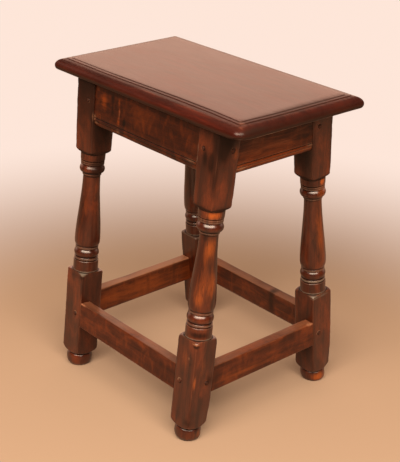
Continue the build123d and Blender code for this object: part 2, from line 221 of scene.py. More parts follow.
@dataclass(frozen=True)
class WoodFinish(Finish):
    """Stained and waxed wood, with linear colours and its ring_spacing in metres.

    A range is where a layer starts to show and where it is full. The breaks are how far the fibres or the
    streaks break up its edge, and relief is the height of the fibres, the streaks and the pores.
    """

    dark: Colour
    middle: Colour
    light: Colour
    # These four colours paint wood worn through the stain, rubbing, dusting and dirt; where marks put them,
    # the first three also paint highlights and the last paints shade.
    bare: Colour
    rubbed_and_highlight: Colour
    dust: Colour = (0.20, 0.125, 0.080)
    soil: Colour = (0.012, 0.006, 0.004)
    fibres: Pattern = Pattern(620.0, 0.045, NOWHERE, 4.0, 0.6)
    streaks: Pattern = Pattern(112.0, 0.14, (3.1, 1.7, 0.4), 3.0, 0.56, 0.6)
    blotches: Pattern = Pattern(24.0, 0.42, (7.3, 2.2, 5.1), 4.0, 0.6, 0.5)
    pores: Pattern = Pattern(760.0, 0.11, (1.0, 5.0, 2.0), 2.5)
    ripple: Pattern = Pattern(58.0, 1.0, (4.4, 8.8, 1.9), 2.5, 0.55, 1.4, across=0.42)
    pore_range: Point = (0.57, 0.68)
    streak_range: Point = (0.32, 0.68)
    worn_and_highlight_range: Point = (0.12, 0.95)
    worn_and_highlight_breaks: Point = (0.35, 0.55)
    dusty_range: Point = (0.1, 0.9)
    dusty_break: float = 0.4
    soiled_range: Point = (0.15, 0.75)
    soiled_break: float = 0.5
    relief: Triple = (0.5, 0.25, 0.6)
    ring_spacing: float = 0.0032
    ring_share: float = 0.45
    streak_share: float = 0.6
    fibre_share: float = 0.35
    blotch_share: float = 0.75
    mottled_from: Point = (0.48, 0.50)
    blotch_spread: float = 0.20
    curl_share: float = 0.0
    curl_spread: float = 0.24
    fleck_share: float = 0.5
    soil_share: float = 0.9
    ior: float = 1.36
    shine: float = 0.5
    roughness: float = 0.34
    rough_spread: float = 0.16
    soil_rough: float = 0.12
    dust_rough: float = 0.15
    coat: float = 0.35
    coat_lost_to_soil_and_shade: float = 0.85
    coat_ior: float = 1.36
    coat_roughness: float = 0.13
    bump: float = 0.25
    bump_depth: float = 0.0004

    def surface(self, graph: Graph) -> Socket:
        """Figure of the wood, then wear, dusting, dirt, painted highlights and painted shade, then the wax.

        Args:
            graph: the material's nodes.

        Returns:
            The shader.
        """
        place = graph.node("ShaderNodeAttribute", {"attribute_name": "grain"}).outputs["Vector"]
        fibres, streaks, blotches, pores = (
            graph.noise(place, kind) for kind in (self.fibres, self.streaks, self.blotches, self.pores))
        pores = graph.between(pores, *self.pore_range)
        figure = (self._rings(graph, place) * self.ring_share
                  + graph.between(streaks, *self.streak_range) * self.streak_share
                  + (fibres - 0.5) * self.fibre_share).clamped()
        wood = graph.mix(figure, self.dark, self.middle)
        wood = self._mottled(graph, wood, blotches, self.blotch_spread, self.blotch_share)
        if self.curl_share:
            curl = graph.noise(place, self.ripple)
            wood = self._mottled(graph, wood, curl, self.curl_spread, self.curl_share)
        # Wood worn through the stain and rubbing, with painted highlights laid in the same two layers.
        by_fibres, by_streaks = self.worn_and_highlight_breaks
        for layer, colour in ((Layer.BARE, self.bare), (Layer.RUB, self.rubbed_and_highlight)):
            worn = graph.amount(layer.value) + (fibres - 0.5) * by_fibres + (streaks - 0.5) * by_streaks
            wood = graph.mix(graph.between(worn, *self.worn_and_highlight_range), wood, colour)
        wood = graph.mix(pores * self.fleck_share, wood, self.dark)
        # Dusting, with painted highlights and painted sheen laid in the same layer.
        dust_and_highlight_amount = graph.amount(Layer.DUST.value) + (fibres - 0.5) * self.dusty_break
        dust_and_highlight_amount = graph.between(dust_and_highlight_amount, *self.dusty_range)
        wood = graph.mix(dust_and_highlight_amount, wood, self.dust)
        # Dirt, with painted shade laid in the same layer; it also takes away coat and adds roughness.
        soil_and_shade_amount = graph.amount(Layer.SOIL.value) + (streaks - 0.5) * self.soiled_break
        soil_and_shade_amount = graph.between(soil_and_shade_amount, *self.soiled_range)
        wood = graph.mix(soil_and_shade_amount * self.soil_share, wood, self.soil)
        rough = (self.roughness + (fibres - 0.5) * self.rough_spread + soil_and_shade_amount * self.soil_rough
                 + dust_and_highlight_amount * self.dust_rough + (blotches - 0.5) * self.rough_spread).clamped()
        height = fibres * self.relief[0] + streaks * self.relief[1] - pores * self.relief[2]
        bump = {"Strength": self.bump, "Distance": self.bump_depth, "Height": height}
        return graph.surface(
            Base_Color=wood, Roughness=rough, IOR=self.ior, Specular_IOR_Level=self.shine,
            Coat_Weight=(1.0 - soil_and_shade_amount * self.coat_lost_to_soil_and_shade) * self.coat, Coat_IOR=self.coat_ior,
            Coat_Roughness=self.coat_roughness,
            Normal=graph.node("ShaderNodeBump", {}, bump).outputs["Normal"])

    def _rings(self, graph: Graph, place: Socket) -> Value:
        """Growth rings cut by the surface.

        Args:
            graph: the material's nodes.
            place: the place in the tree.

        Returns:
            0 in a ring's dark wood, up to 1 in its light.
        """
        settings = {"wave_type": "RINGS", "rings_direction": "Z", "wave_profile": "SAW"}
        return graph.value("ShaderNodeTexWave", "Fac", settings, {
            "Vector": graph.scaled(place, (1.0, 1.0, 0.06)), "Scale": 1.0 / (self.ring_spacing * 20),
            "Distortion": 5.0, "Detail": 3.0, "Detail Scale": 1.2, "Detail Roughness": 0.6})

    def _mottled(self, graph: Graph, wood: Socket, mottle: Value, spread: float, share: float) -> Socket:
        """Lightens the wood where a noise is high and darkens it where it is low.

        Args:
            graph: the material's nodes.
            wood: the colour so far.
            mottle: the noise.
            spread: how far from the middle of the noise the change is full.
            share: how strong the change is.

        Returns:
            The new colour.
        """
        light_from, dark_from = self.mottled_from
        wood = graph.mix(graph.between(mottle, light_from, 0.5 + spread) * share, wood, self.light)
        return graph.mix(graph.between(mottle, dark_from, 0.5 - spread) * share, wood, self.dark)


@dataclass(frozen=True)
class SteelFinish(Finish):
    """Dull screw steel with rust in patches. rusty_range is where in the noise it starts and is full."""

    name: str = "dull_screw_steel"
    steel: Colour = (0.36, 0.34, 0.31)
    rust: Colour = (0.10, 0.035, 0.015)
    patches: Pattern = Pattern(700.0, detail=4.0, rough=0.6)
    rusty_range: Point = (0.5, 0.65)
    metal_loss: float = 0.85
    roughness: float = 0.38
    rust_rough: float = 0.4

    def surface(self, graph: Graph) -> Socket:
        """Steel, and rust that is rougher and hardly metallic.

        Args:
            graph: the material's nodes.

        Returns:
            The shader.
        """
        rusty = graph.noise(graph.node("ShaderNodeTexCoord").outputs["Object"], self.patches)
        rusty = graph.between(rusty, *self.rusty_range)
        return graph.surface(
            Base_Color=graph.mix(rusty, self.steel, self.rust), Metallic=1.0 - rusty * self.metal_loss,
            Roughness=self.roughness + rusty * self.rust_rough)


@dataclass(frozen=True)
class FloorFinish(Finish):
    """Plain pale floor that fades into the backdrop. fade_from and fade_to are in metres from the middle."""

    name: str = "plain_floor"
    colour: Colour = (0.48, 0.345, 0.25)
    mirrored: Colour = (0.10, 0.045, 0.025)
    mirror_loss: float = 0.40
    roughness: float = 0.9
    shine: float = 0.2
    fade_from: float = 0.40
    fade_to: float = 1.25

    def surface(self, graph: Graph) -> Socket:
        """Floor that glossy rays partly see as a dim glow, a painted darker reflection in the stool's polish,
        and that gives way to the backdrop far off.

        Args:
            graph: the material's nodes.

        Returns:
            The shader.
        """
        plain = graph.surface(Base_Color=self.colour, Roughness=self.roughness,
                              Specular_IOR_Level=self.shine)
        glow, dim = (graph.node("ShaderNodeEmission", {}, {"Color": colour, "Strength": 1.0}).outputs[0]
                     for colour in (BACKDROP, self.mirrored))
        place = graph.node("ShaderNodeTexCoord").outputs["Object"]
        away = graph.value("ShaderNodeVectorMath", "Value", {"operation": "LENGTH"}, {0: place})
        path = graph.node("ShaderNodeLightPath").outputs
        far = graph.between(away, self.fade_from, self.fade_to) * Value(graph, path["Is Camera Ray"])
        # Painted reflection: glossy rays see part of the floor as a dim glow instead of the lit floor.
        mirror = Value(graph, path["Is Glossy Ray"]) * self.mirror_loss
        for share, other in ((mirror, dim), (far, glow)):
            plain = graph.node("ShaderNodeMixShader", {}, {0: share, 1: plain, 2: other}).outputs["Shader"]
        return plain


# ---------------- marks
class Layer(Enum):
    """What a mark adds to, named as the attribute that the finishes read."""

    # Rubbing on edges, and painted highlights.
    RUB = "rub"
    # Wood worn through the stain, and painted highlights.
    BARE = "bare"
    # Dusting, and painted highlights and sheen.
    DUST = "dust"
    # Dirt, and painted shade.
    SOIL = "soil"


@dataclass(frozen=True)
class Mark:
    """A soft patch on a piece, painted in the piece's own coordinates, in millimetres."""

    layer: Layer
    centre: Triple
    reach: Triple
    amount: float

    def over(self, places: np.ndarray) -> np.ndarray:
        """Strength of the patch at each vertex, from their places in the piece's own coordinates."""
        return self.amount * self.fade((places - np.array(self.centre)) / np.array(self.reach))

    def fade(self, away: np.ndarray) -> np.ndarray:
        """How the patch fades, from places measured in its reach."""
        return np.exp(-(away ** 2).sum(axis=1))


@dataclass(frozen=True)
class Arc(Mark):
    """A crescent painted round a centre, strongest towards one side."""

    toward: Triple = (0.0, 0.0, 1.0)
    width: float = 0.22

    def fade(self, away: np.ndarray) -> np.ndarray:
        """How the crescent fades away from its circle and from its side.

        Args:
            away: places measured in the crescent's reach.

        Returns:
            One share for each place.
        """
        length = np.maximum(np.sqrt((away ** 2).sum(axis=1)), 1e-6)
        side = (away * np.array(Vector(self.toward).normalized())).sum(axis=1) / length
        return np.exp(-((length - 1.0) / self.width) ** 2) * np.clip(side, 0.0, 1.0) ** 0.7


def marks_of(layer: Layer, *rows: Sequence[float]) -> list[Mark]:
    """Marks of one layer, each written as its place, its reach on each axis and its amount."""
    return [Mark(layer, row[:3], row[3:6], row[6]) for row in rows]


def bands_of(layer: Layer, *rows: Sequence[float]) -> list[Mark]:
    """Marks that go right round a leg, each written as its height, its reach and its amount."""
    return [Mark(layer, (0.0, 0.0, height), (RIGHT_ROUND, RIGHT_ROUND, tall), amount)
            for height, tall, amount in rows]


# ---------------- workpieces
def clamp(value: float, low: float = 0.0, high: float = 1.0) -> float:
    """A number kept between two limits."""
    return max(low, min(high, value))


def soft_step(values: np.ndarray, low: float, high: float) -> np.ndarray:
    """Smooth step of an array from 0 at low to 1 at high."""
    share = np.clip((values - low) / (high - low), 0.0, 1.0)
    return share * share * (3.0 - 2.0 * share)


def soft_least(first: float, second: float, blend: float) -> float:
    """The smaller of two lengths, with the corner between them rounded over a blend length."""
    return min(first, second) - max(blend - abs(first - second), 0.0) ** 2 / (4.0 * blend)


def wander(*places: float) -> float:
    """Smooth noise from about -1 to 1 at up to three coordinates."""
    return noise.noise(Vector((*places, 0.37, 0.61)[:3])) * WANDER_GAIN


def read(items: bpy.types.bpy_prop_collection, name: str, width: int,
         kind: type = np.float32) -> np.ndarray:
    """Reads one property of each of a mesh's items.

    Args:
        items: vertices, edges or an attribute's data.
        name: the property.
        width: how many numbers it has.
        kind: their type.

    Returns:
        One row for each item.
    """
    values = np.zeros(len(items) * width, kind)
    items.foreach_get(name, values)
    return values.reshape(-1, width)


def add_object(name: str, data: bpy.types.ID) -> bpy.types.Object:
    """Makes an object and links it to the scene.

    Args:
        name: its name.
        data: its mesh, lamp or camera.

    Returns:
        The object.
    """
    made = bpy.data.objects.new(name, data)
    bpy.context.scene.collection.objects.link(made)
    return made


@dataclass(frozen=True)
class Patina:
    """What a piece is painted from.

    grain_axes are its own axes that lie across, across and along the grain, and grain_shift is where in the
    tree it was, in metres. rub_gain is how strongly its edges show rubbing, and soil_gain how dark its
    hollows are, with dirt and painted shade. The bends, per millimetre, are where that starts and where it is
    full, and most is the limit of a layer.
    """

    marks: Sequence[Mark] = ()
    grain_axes: tuple[int, int, int] = (0, 1, 2)
    grain_shift: Triple = NOWHERE
    rub_gain: float = 1.0
    soil_gain: float = 1.0
    rub_bend: Point = (0.035, 0.30)
    soil_bend: Point = (0.02, 0.22)
    most: float = 1.5

    def paint(self, data: bpy.types.Mesh) -> None:
        """Writes the attributes that the finishes read.

        Args:
            data: the mesh, in the frame, whose attribute "own" keeps its own coordinates.
        """
        own = read(data.attributes["own"].data, "vector", 3).astype(float)
        convex, hollow = bend_of(data)
        layers = {
            Layer.RUB: soft_step(convex, *self.rub_bend) * self.rub_gain,
            Layer.BARE: np.zeros(len(own)),
            Layer.DUST: np.zeros(len(own)),
            # Hollows darkened with dirt and painted shade.
            Layer.SOIL: soft_step(hollow, *self.soil_bend) * self.soil_gain,
        }
        for mark in self.marks:
            layers[mark.layer] = layers[mark.layer] + mark.over(own)
        for layer, amounts in layers.items():
            made = data.attributes.new(layer.value, "FLOAT", "POINT")
            made.data.foreach_set("value", np.clip(amounts, 0.0, self.most).astype(np.float32))
        grain = own[:, list(self.grain_axes)] * MM + np.array(self.grain_shift)
        made = data.attributes.new("grain", "FLOAT_VECTOR", "POINT")
        made.data.foreach_set("vector", grain.astype(np.float32).ravel())
        data.attributes.remove(data.attributes["own"])


def bend_of(data: bpy.types.Mesh, passes: int = 3, least: float = 0.04) -> tuple[np.ndarray, np.ndarray]:
    """How sharply the surface bends at each vertex, per millimetre, smoothed over its neighbours.

    Args:
        data: the mesh, in metres.
        passes: rounds of smoothing.
        least: square of the length, in millimetres, that a shorter edge counts as.

    Returns:
        The outward and the inward bend.
    """
    places = read(data.vertices, "co", 3).astype(float) / MM
    normals = read(data.vertices, "normal", 3).astype(float)
    ends = read(data.edges, "vertices", 2, np.int32).T
    run = places[ends[1]] - places[ends[0]]
    length = np.maximum((run ** 2).sum(axis=1), least)
    bend, ties = np.zeros(len(places)), np.zeros(len(places))
    for end, sign in zip(ends, (-2.0, 2.0)):
        np.add.at(bend, end, sign * (normals[end] * run).sum(axis=1) / length)
        np.add.at(ties, end, 1.0)
    ties = np.maximum(ties, 1.0)
    bend = np.clip(bend / ties, -1.0, 1.0)
    for _ in range(passes):
        spread = np.zeros(len(places))
        np.add.at(spread, ends[0], bend[ends[1]])
        np.add.at(spread, ends[1], bend[ends[0]])
        bend = 0.5 * bend + 0.5 * spread / ties
    return np.maximum(bend, 0.0), np.maximum(-bend, 0.0)


class Workpiece:
    """A mesh on the bench: shaped in its own coordinates, then put in its place."""

    def __init__(self) -> None:
        """Starts with an empty mesh."""
        self.mesh = bmesh.new()

    def chain(self, points: Iterable[Triple], closed: bool = False) -> Edges:
        """Chain of edges through points, open or closed."""
        corners = [self.mesh.verts.new(point) for point in points]
        return [self.mesh.edges.new(pair) for pair in zip(corners, corners[1:] + corners[:closed])]

    def extend(self, edges: Edges) -> tuple[list[bmesh.types.BMVert], Edges]:
        """Extrudes a chain of edges without moving it.

        Args:
            edges: the chain.

        Returns:
            The corners and the edges of the new chain.
        """
        made = bmesh.ops.extrude_edge_only(self.mesh, edges=edges)["geom"]
        corners = [item for item in made if isinstance(item, bmesh.types.BMVert)]
        return corners, [item for item in made
                         if isinstance(item, bmesh.types.BMEdge) and set(item.verts) <= set(corners)]

    def reshape(self, rule: Callable[[Vector], Vector]) -> None:
        """Moves every vertex by a rule."""
        for vertex in self.mesh.verts:
            vertex.co = rule(vertex.co)

    def close(self, edges: Edges) -> bmesh.types.BMFace:
        """Closes a loop of edges with one face."""
        return bmesh.ops.contextual_create(self.mesh, geom=edges)["faces"][0]

    def finish(self, name: str, place: Matrix, material: Material, slot: str, patina: Patina,
               levels: tuple[float | None, float | None] = (None, None), crease: float = 50.0) -> None:
        """Puts the piece in the frame, paints its attributes and hands it over.

        Args:
            name: its name, which is also the CAD node that it stands for.
            place: from its own coordinates to the frame, in millimetres.
            material: what it is covered with.
            slot: not used.
            patina: its marks, wear and grain.
            levels: heights in the frame at which it is cut off level, low and high.
            crease: edges sharper than this many degrees stay sharp in shading.
        """
        own = self.mesh.verts.layers.float_vector.new("own")
        for vertex in self.mesh.verts:
            vertex[own] = vertex.co
        bmesh.ops.transform(self.mesh, matrix=place, verts=self.mesh.verts)
        for height, up in zip(levels, (-1.0, 1.0)):
            if height is not None:
                self._cut_level(height, up)
        bmesh.ops.scale(self.mesh, vec=(MM, MM, MM), verts=self.mesh.verts)
        bmesh.ops.recalc_face_normals(self.mesh, faces=self.mesh.faces)
        data = bpy.data.meshes.new(name)
        self.mesh.to_mesh(data)
        self.mesh.free()
        for polygon in data.polygons:
            polygon.use_smooth = True
        data.set_sharp_from_angle(angle=math.radians(crease))
        patina.paint(data)
        data.materials.append(material)
        made = add_object(name, data)
        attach(made, "root")
        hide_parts(name)
        LOG.info("%s: %d faces", name, len(data.polygons))

    def _cut_level(self, height: float, up: float) -> None:
        """Cuts the piece off level at a height, below it or above, and closes the cut.

        Args:
            height: in the frame, in millimetres.
            up: 1 where what is above goes, -1 where what is below goes.
        """
        cut = bmesh.ops.bisect_plane(
            self.mesh, geom=[*self.mesh.verts, *self.mesh.edges, *self.mesh.faces], plane_co=(0, 0, height),
            plane_no=(0, 0, up), clear_outer=True)["geom_cut"]
        edges = [item for item in cut if isinstance(item, bmesh.types.BMEdge)]
        bmesh.ops.contextual_create(self.mesh, geom=edges)


# ---------------- sizes shared by the pieces
@dataclass(frozen=True)
class StoolSizes:
    """Sizes that more than one sub-assembly needs, in millimetres, as the solids have them."""

    height: float = 560.0
    top_thickness: float = 22.0
    splay: float = 5.5
    leg_x: float = 155.0
    leg_y_top: float = 99.7
    leg_half: float = 23.0
    tenon_thickness: float = 9.0
    tenon_setback: float = 6.5
    tenon_length: float = 26.0
    peg_from_axis: float = 8.5

    @property
    def tilt(self) -> float:
        """Lean of the legs, in radians."""
        return math.radians(self.splay)

    @property
    def underside(self) -> float:
        """Height of the underside of the top."""
        return self.height - self.top_thickness

    @property
    def leg_length(self) -> float:
        """Length of a leg along its axis."""
        return self.underside / math.cos(self.tilt)

    @property
    def leg_y_floor(self) -> float:
        """Leg axis from the middle of the width, at the floor."""
        return self.leg_y_top + self.underside * math.tan(self.tilt)

    def leg_y(self, height: float) -> float:
        """Leg axis from the middle of the width, at a height."""
        return self.leg_y_floor - height * math.tan(self.tilt)

    def side_place(self, front: bool) -> Matrix:
        """From side coordinates (x along, -y outwards, z up the legs) to the frame."""
        lean = Matrix.Translation((0, -self.leg_y_floor, 0)) @ Matrix.Rotation(-self.tilt, 4, "X")
        return lean if front else Matrix.Rotation(math.pi, 4, "Z") @ lean


STOOL = StoolSizes()


# ---------------- outlines
class Outline:
    """Outline of a turning or of a rail, as radius or depth, and height."""

    def __init__(self, start: Point) -> None:
        """Starts at a point."""
        self.points: list[Point] = [start]

    def line(self, end: Point, step: float = 4.0) -> "Outline":
        """Straight run to a point, divided into steps.

        Args:
            end: where it ends.
            step: about how long its steps are.

        Returns:
            The outline itself.
        """
        (r0, z0), (r1, z1) = self.points[-1], end
        count = max(1, round(math.hypot(r1 - r0, z1 - z0) / step))
        self.points += [(r0 + (r1 - r0) * i / count, z0 + (z1 - z0) * i / count) for i in range(1, count + 1)]
        return self

    def lines(self, *runs: Triple, base: float = 0.0) -> "Outline":
        """Straight runs, one after the other.

        Args:
            runs: where each ends, with its height over the base, and its step.
            base: height of the base.

        Returns:
            The outline itself.
        """
        for radius, height, step in runs:
            self.line((radius, base + height), step)
        return self

    def quarter(self, end: Point, level_first: bool, count: int = 9) -> "Outline":
        """Quarter of an ellipse to a point.

        Args:
            end: where it ends.
            level_first: whether it sets off level, and ends upright.
            count: how many runs it has.

        Returns:
            The outline itself.
        """
        (r0, z0), (r1, z1) = self.points[-1], end
        for i in range(1, count + 1):
            turn = math.pi / 2 * i / count
            level, upright = (math.sin(turn), 1 - math.cos(turn))
            if not level_first:
                level, upright = upright, level
            self.points.append((r0 + (r1 - r0) * level, z0 + (z1 - z0) * upright))
        return self

    def bulge(self, end: Point, middle: float, count: int = 10) -> "Outline":
        """Arc to a point, swelling outwards or inwards.

        Args:
            end: where it ends.
            middle: the radius that it reaches halfway.
            count: how many runs it has.

        Returns:
            The outline itself.
        """
        (r0, z0), (r1, z1) = self.points[-1], end
        rise = middle - (r0 + r1) / 2
        span = z1 - z0
        radius = (span * span / 4 + rise * rise) / (2 * abs(rise))
        for i in range(1, count + 1):
            share = i / count
            drop = math.sqrt(radius ** 2 - ((share - 0.5) * span) ** 2) - (radius - abs(rise))
            self.points.append((r0 + (r1 - r0) * share + math.copysign(drop, rise), z0 + span * share))
        return self

    def swell(self, radii: Sequence[float], top: float, count: int = 56) -> "Outline":
        """Long curve, upright at both ends.

        Args:
            radii: radii at equal steps of height, of which the last is at the top.
            top: where it ends.
            count: how many runs it has.

        Returns:
            The outline itself.
        """
        radii = [self.points[-1][0], *radii]
        foot = self.points[-1][1]
        slopes = [0.0] + [(b - a) / 2 for a, b in zip(radii, radii[2:])] + [0.0]
        for i in range(1, count + 1):
            place = (len(radii) - 1) * i / count
            k = min(int(place), len(radii) - 2)
            t = place - k
            radius = ((2 * t ** 3 - 3 * t ** 2 + 1) * radii[k] + (t ** 3 - 2 * t ** 2 + t) * slopes[k]
                      + (3 * t ** 2 - 2 * t ** 3) * radii[k + 1] + (t ** 3 - t ** 2) * slopes[k + 1])
            self.points.append((radius, foot + (top - foot) * i / count))
        return self


# ---------------- legs
@dataclass(frozen=True)
class Chip:
    """A chip or flat worn into a leg: height, direction round the leg in degrees, reach and depth."""

    height: float
    turn: float
    tall: float
    wide: float
    depth: float


@dataclass
class Leg:
    """One leg, turned between two square blocks, leaning to the front or the back."""

    front: bool
    right: bool
    seed: float
    marks: Sequence[Mark] = ()
    chips: Sequence[Chip] = ()
    steps: int = 96
    crowd: float = 0.175
    foot_half: float = 17.5
    corner: float = 35.5
    outer_top: float = 24.6
    outer_bottom: float = 21.5
    lower_bottom: float = 24.5
    lower_top: float = 186.3
    upper_length: float = 132.5
    neck_length: float = 43.0
    lower_roll: float = 20.0
    upper_roll: float = 15.0
    shoulder_fall: float = 1.8
    upper_power: float = 16.0
    lower_power: float = 21.0
    power_loss: float = 6.0
    arris_roll: float = 2.2
    roll_spread: float = 0.8
    planing: float = 0.16
    turning: float = 0.10
    seat_radius: float = 4.3
    seat_depth: float = 0.55
    seat_rim: float = 0.9
    seat_reach: float = 7.5
    seat_slack: float = 4.0
    peg_heights: tuple[Point, ...] = ((503.6, 502.6), (106.0, 106.5))
    # Pegs with crescents: number, side of the highlight, amount; they paint highlight and shade.
    peg_highlight_and_shade: tuple[tuple[int, Triple, float], ...] = ()

    @property
    def upper_bottom(self) -> float:
        """Foot of the upper block, along the leg."""
        return STOOL.leg_length - self.upper_length

    @property
    def neck(self) -> float:
        """Foot of the mouldings under the upper block, along the leg."""
        return self.upper_bottom - self.neck_length

    @property
    def ends(self) -> tuple[str, str]:
        """Names of the side and the end of the stool that the leg stands at."""
        return "front" if self.front else "back", "right" if self.right else "left"

    @property
    def place(self) -> Matrix:
        """From the leg's own coordinates to the frame.

        Returns:
            Its shift and lean, mirrored for a leg on the left or at the back.
        """
        place = STOOL.side_place(True) @ Matrix.Translation((STOOL.leg_x, 0, 0))
        for plain, axis in ((self.right, (1, 0, 0)), (self.front, (0, 1, 0))):
            place = place if plain else Matrix.Scale(-1, 4, axis) @ place
        return place

    def common_marks(self) -> list[Mark]:
        """Dirt and painted shade in the grooves and under the top, dusting and painted sheen on the shoulders
        and fillets.

        Returns:
            The marks that every leg has.
        """
        neck = self.neck
        return [
            # Dark bands: dirt and painted shade in the grooves, the last one painted shadow under the top.
            *bands_of(Layer.SOIL, (24.0, 0.9, 0.8), (207.8, 0.6, 0.7), (214.2, 0.9, 0.9), (235.0, 0.8, 0.8),
                      (neck + 5.6, 1.0, 0.9), (neck + 7.4, 1.8, 0.45), (neck + 21.4, 0.5, 0.6),
                      (neck + 24.8, 0.35, 0.5), (neck + 28.4, 0.7, 0.9), (self.upper_bottom + 1.2, 2.2, 0.7),
                      (STOOL.leg_length - 6.0, 20.0, 0.62)),
            # Light bands: dusting and a painted silvery sheen on shoulders, astragals and fillets.
            *bands_of(Layer.DUST, (self.lower_top + 1.6, 1.0, 0.75), (206.4, 0.7, 0.45), (210.8, 1.5, 0.60),
                      (232.0, 1.6, 0.55), (neck + 3.0, 1.5, 0.45), (neck + 23.2, 1.1, 0.55),
                      (neck + 26.4, 1.0, 0.50))]

    def outline(self) -> list[Point]:
        """Outline that the lathe leaves, wide of the square where the leg isn't turned.

        Returns:
            Its points from the foot up, as radius and height.
        """
        made = Outline((self.foot_half, -4.0)).line((self.foot_half, 0.0))
        made.quarter((23.3, 13.0), True).quarter((20.6, 21.6), False, 7)
        made.lines((20.0, 22.6, 0.5), (20.6, self.lower_bottom, 1.0))
        made.quarter((self.corner, self.lower_bottom + self.lower_roll), True, 18)
        shoulder = self.lower_top - self.shoulder_fall
        made.lines((self.corner, shoulder - 0.5, 3.2), (33.4, shoulder, 1.0))
        made.quarter((26.6, self.lower_top - 0.5), False, 8)
        made.lines((22.6, 0.0, 1.2), (22.6, 1.9, 0.9), (22.3, 2.5, 0.5), base=self.lower_top)
        # Ring, cove and lower astragal.
        made.line((22.3, 204.6), 2.0).quarter((21.2, 207.2), False, 5)
        made.lines((20.3, 207.6, 0.4), (20.3, 208.2, 0.5), (21.0, 208.6, 0.4)).bulge((21.0, 212.8), 21.4, 5)
        made.lines((19.7, 213.4, 0.5), (19.5, 215.0, 0.8)).quarter((22.3, 221.0), True, 8)
        made.bulge((18.5, 229.0), 21.24, 16)
        made.lines((20.5, 229.5, 0.5), (20.6, 233.6, 1.0), (19.9, 234.2, 0.5), (20.0, 235.2, 0.5))
        # Column.
        made.quarter((22.7, 245.4), True, 8).swell((21.3, 18.7, 16.3, 15.2), self.neck)
        # Neck, upper astragal and collar.
        made.quarter((16.7, self.neck + 1.6), False, 4)
        made.lines((16.9, 4.4, 0.9), (16.5, 5.2, 0.5), (17.3, 5.8, 0.5), base=self.neck)
        made.quarter((22.1, self.neck + 12.6), True, 9).bulge((18.0, self.neck + 20.7), 20.9, 16)
        made.lines((20.5, 21.2, 0.5), (20.6, 24.5, 0.9), (20.2, 24.8, 0.3), (20.7, 25.1, 0.3),
                   (20.7, 27.7, 0.9), (19.6, 28.2, 0.4), (19.6, 28.8, 0.5), (21.3, 29.3, 0.5), base=self.neck)
        made.line((21.8, self.upper_bottom), 1.5)
        made.quarter((self.corner, self.upper_bottom + self.upper_roll), True, 16)
        return made.line((self.corner, STOOL.leg_length + 8.0), 3.2).points

    def outer(self, height: float) -> float:
        """Outer faces of the leg from its axis.

        Args:
            height: along the leg.

        Returns:
            The distance in millimetres.
        """
        share = (height - self.upper_bottom) / self.upper_length
        tapered = self.outer_bottom + (self.outer_top - self.outer_bottom) * share
        return tapered if share > 0 else STOOL.leg_half

    def square(self, turn: float, height: float) -> float:
        """Distance from the axis to the planed square, with its arrises worn by use.

        Args:
            turn: direction round the leg, in radians.
            height: along the leg.

        Returns:
            The distance in millimetres.
        """
        across, deep = math.cos(turn), math.sin(turn)
        half_x = self.outer(height) if across > 0 else STOOL.leg_half
        half_y = self.outer(height) if deep < 0 else STOOL.leg_half
        arris = (1 if across > 0 else 3) + (10 if deep > 0 else 20)
        wear = wander(height * 0.028, arris, self.seed) + 0.5 * wander(height * 0.11, arris, self.seed + 5)
        sharp = self.upper_power if height > self.upper_bottom else self.lower_power
        power = sharp - self.power_loss * clamp(wear, -0.9)
        face = round(turn / (math.pi / 2)) % 4 * 7.0
        planed = self.planing * (1 + wander(height * 0.017, face, self.seed + 9))
        side = ((abs(across) / half_x) ** power + (abs(deep) / half_y) ** power) ** (-1.0 / power)
        return side - max(0.0, planed)

    def shaped(self, place: Vector) -> Vector:
        """Planes and wears one point of the spun blank.

        Args:
            place: the point.

        Returns:
            Where it ends up.
        """
        radius, height = math.hypot(place.x, place.y), place.z
        turn = math.atan2(place.y, place.x)
        turn += self.crowd * math.sin(4 * turn)
        if height < self.lower_top + 0.1 or height > self.upper_bottom - 0.1:
            roll = self.arris_roll + self.roll_spread * wander(height * 0.05, self.seed, turn)
            radius = soft_least(radius, self.square(turn, height), roll)
        else:
            unevenness = wander(height * 0.03, math.cos(turn) * 1.5, math.sin(turn) * 1.5 + self.seed)
            radius -= self.turning * (1 + unevenness)
        for chip in self.chips:
            swing = math.remainder(math.degrees(turn) - chip.turn, 360.0) / chip.wide
            rise = (height - chip.height) / chip.tall
            radius -= chip.depth * math.exp(-swing * swing - rise * rise)
        return Vector((radius * math.cos(turn), radius * math.sin(turn), height))

    def pegs(self) -> list[Vector]:
        """Where pegs come out on the two outer faces, in the leg's own coordinates.

        Returns:
            The places on the long and the short side above, then below.
        """
        spots = []
        for long_side, short_side in self.peg_heights:
            spots.append(Vector((-STOOL.peg_from_axis, -self.outer(long_side), long_side)))
            along = short_side / math.cos(STOOL.tilt)
            spots.append(Vector((self.outer(short_side), STOOL.peg_from_axis, along)))
        return spots

    def peg_marks(self) -> list[Mark]:
        """Crescents round the pegs: painted highlight with rubbing and dusting on one side, painted shade
        with dirt on the other.

        Returns:
            Three crescents for each peg that has them.
        """
        made = []
        for number, toward, amount in self.peg_highlight_and_shade:
            away = tuple(-part for part in toward)
            # Painted highlight, painted sheen and painted shade crescents.
            for layer, reach, strength, side, width in (
                    (Layer.RUB, 4.1, 1.3 * amount, toward, 0.32),
                    (Layer.DUST, 4.1, 0.7 * amount, toward, 0.26),
                    (Layer.SOIL, 3.7, 0.35 + 0.6 * amount, away, 0.22)):
                made.append(Arc(layer, tuple(self.pegs()[number]), (reach,) * 3, strength, side, width))
        return made

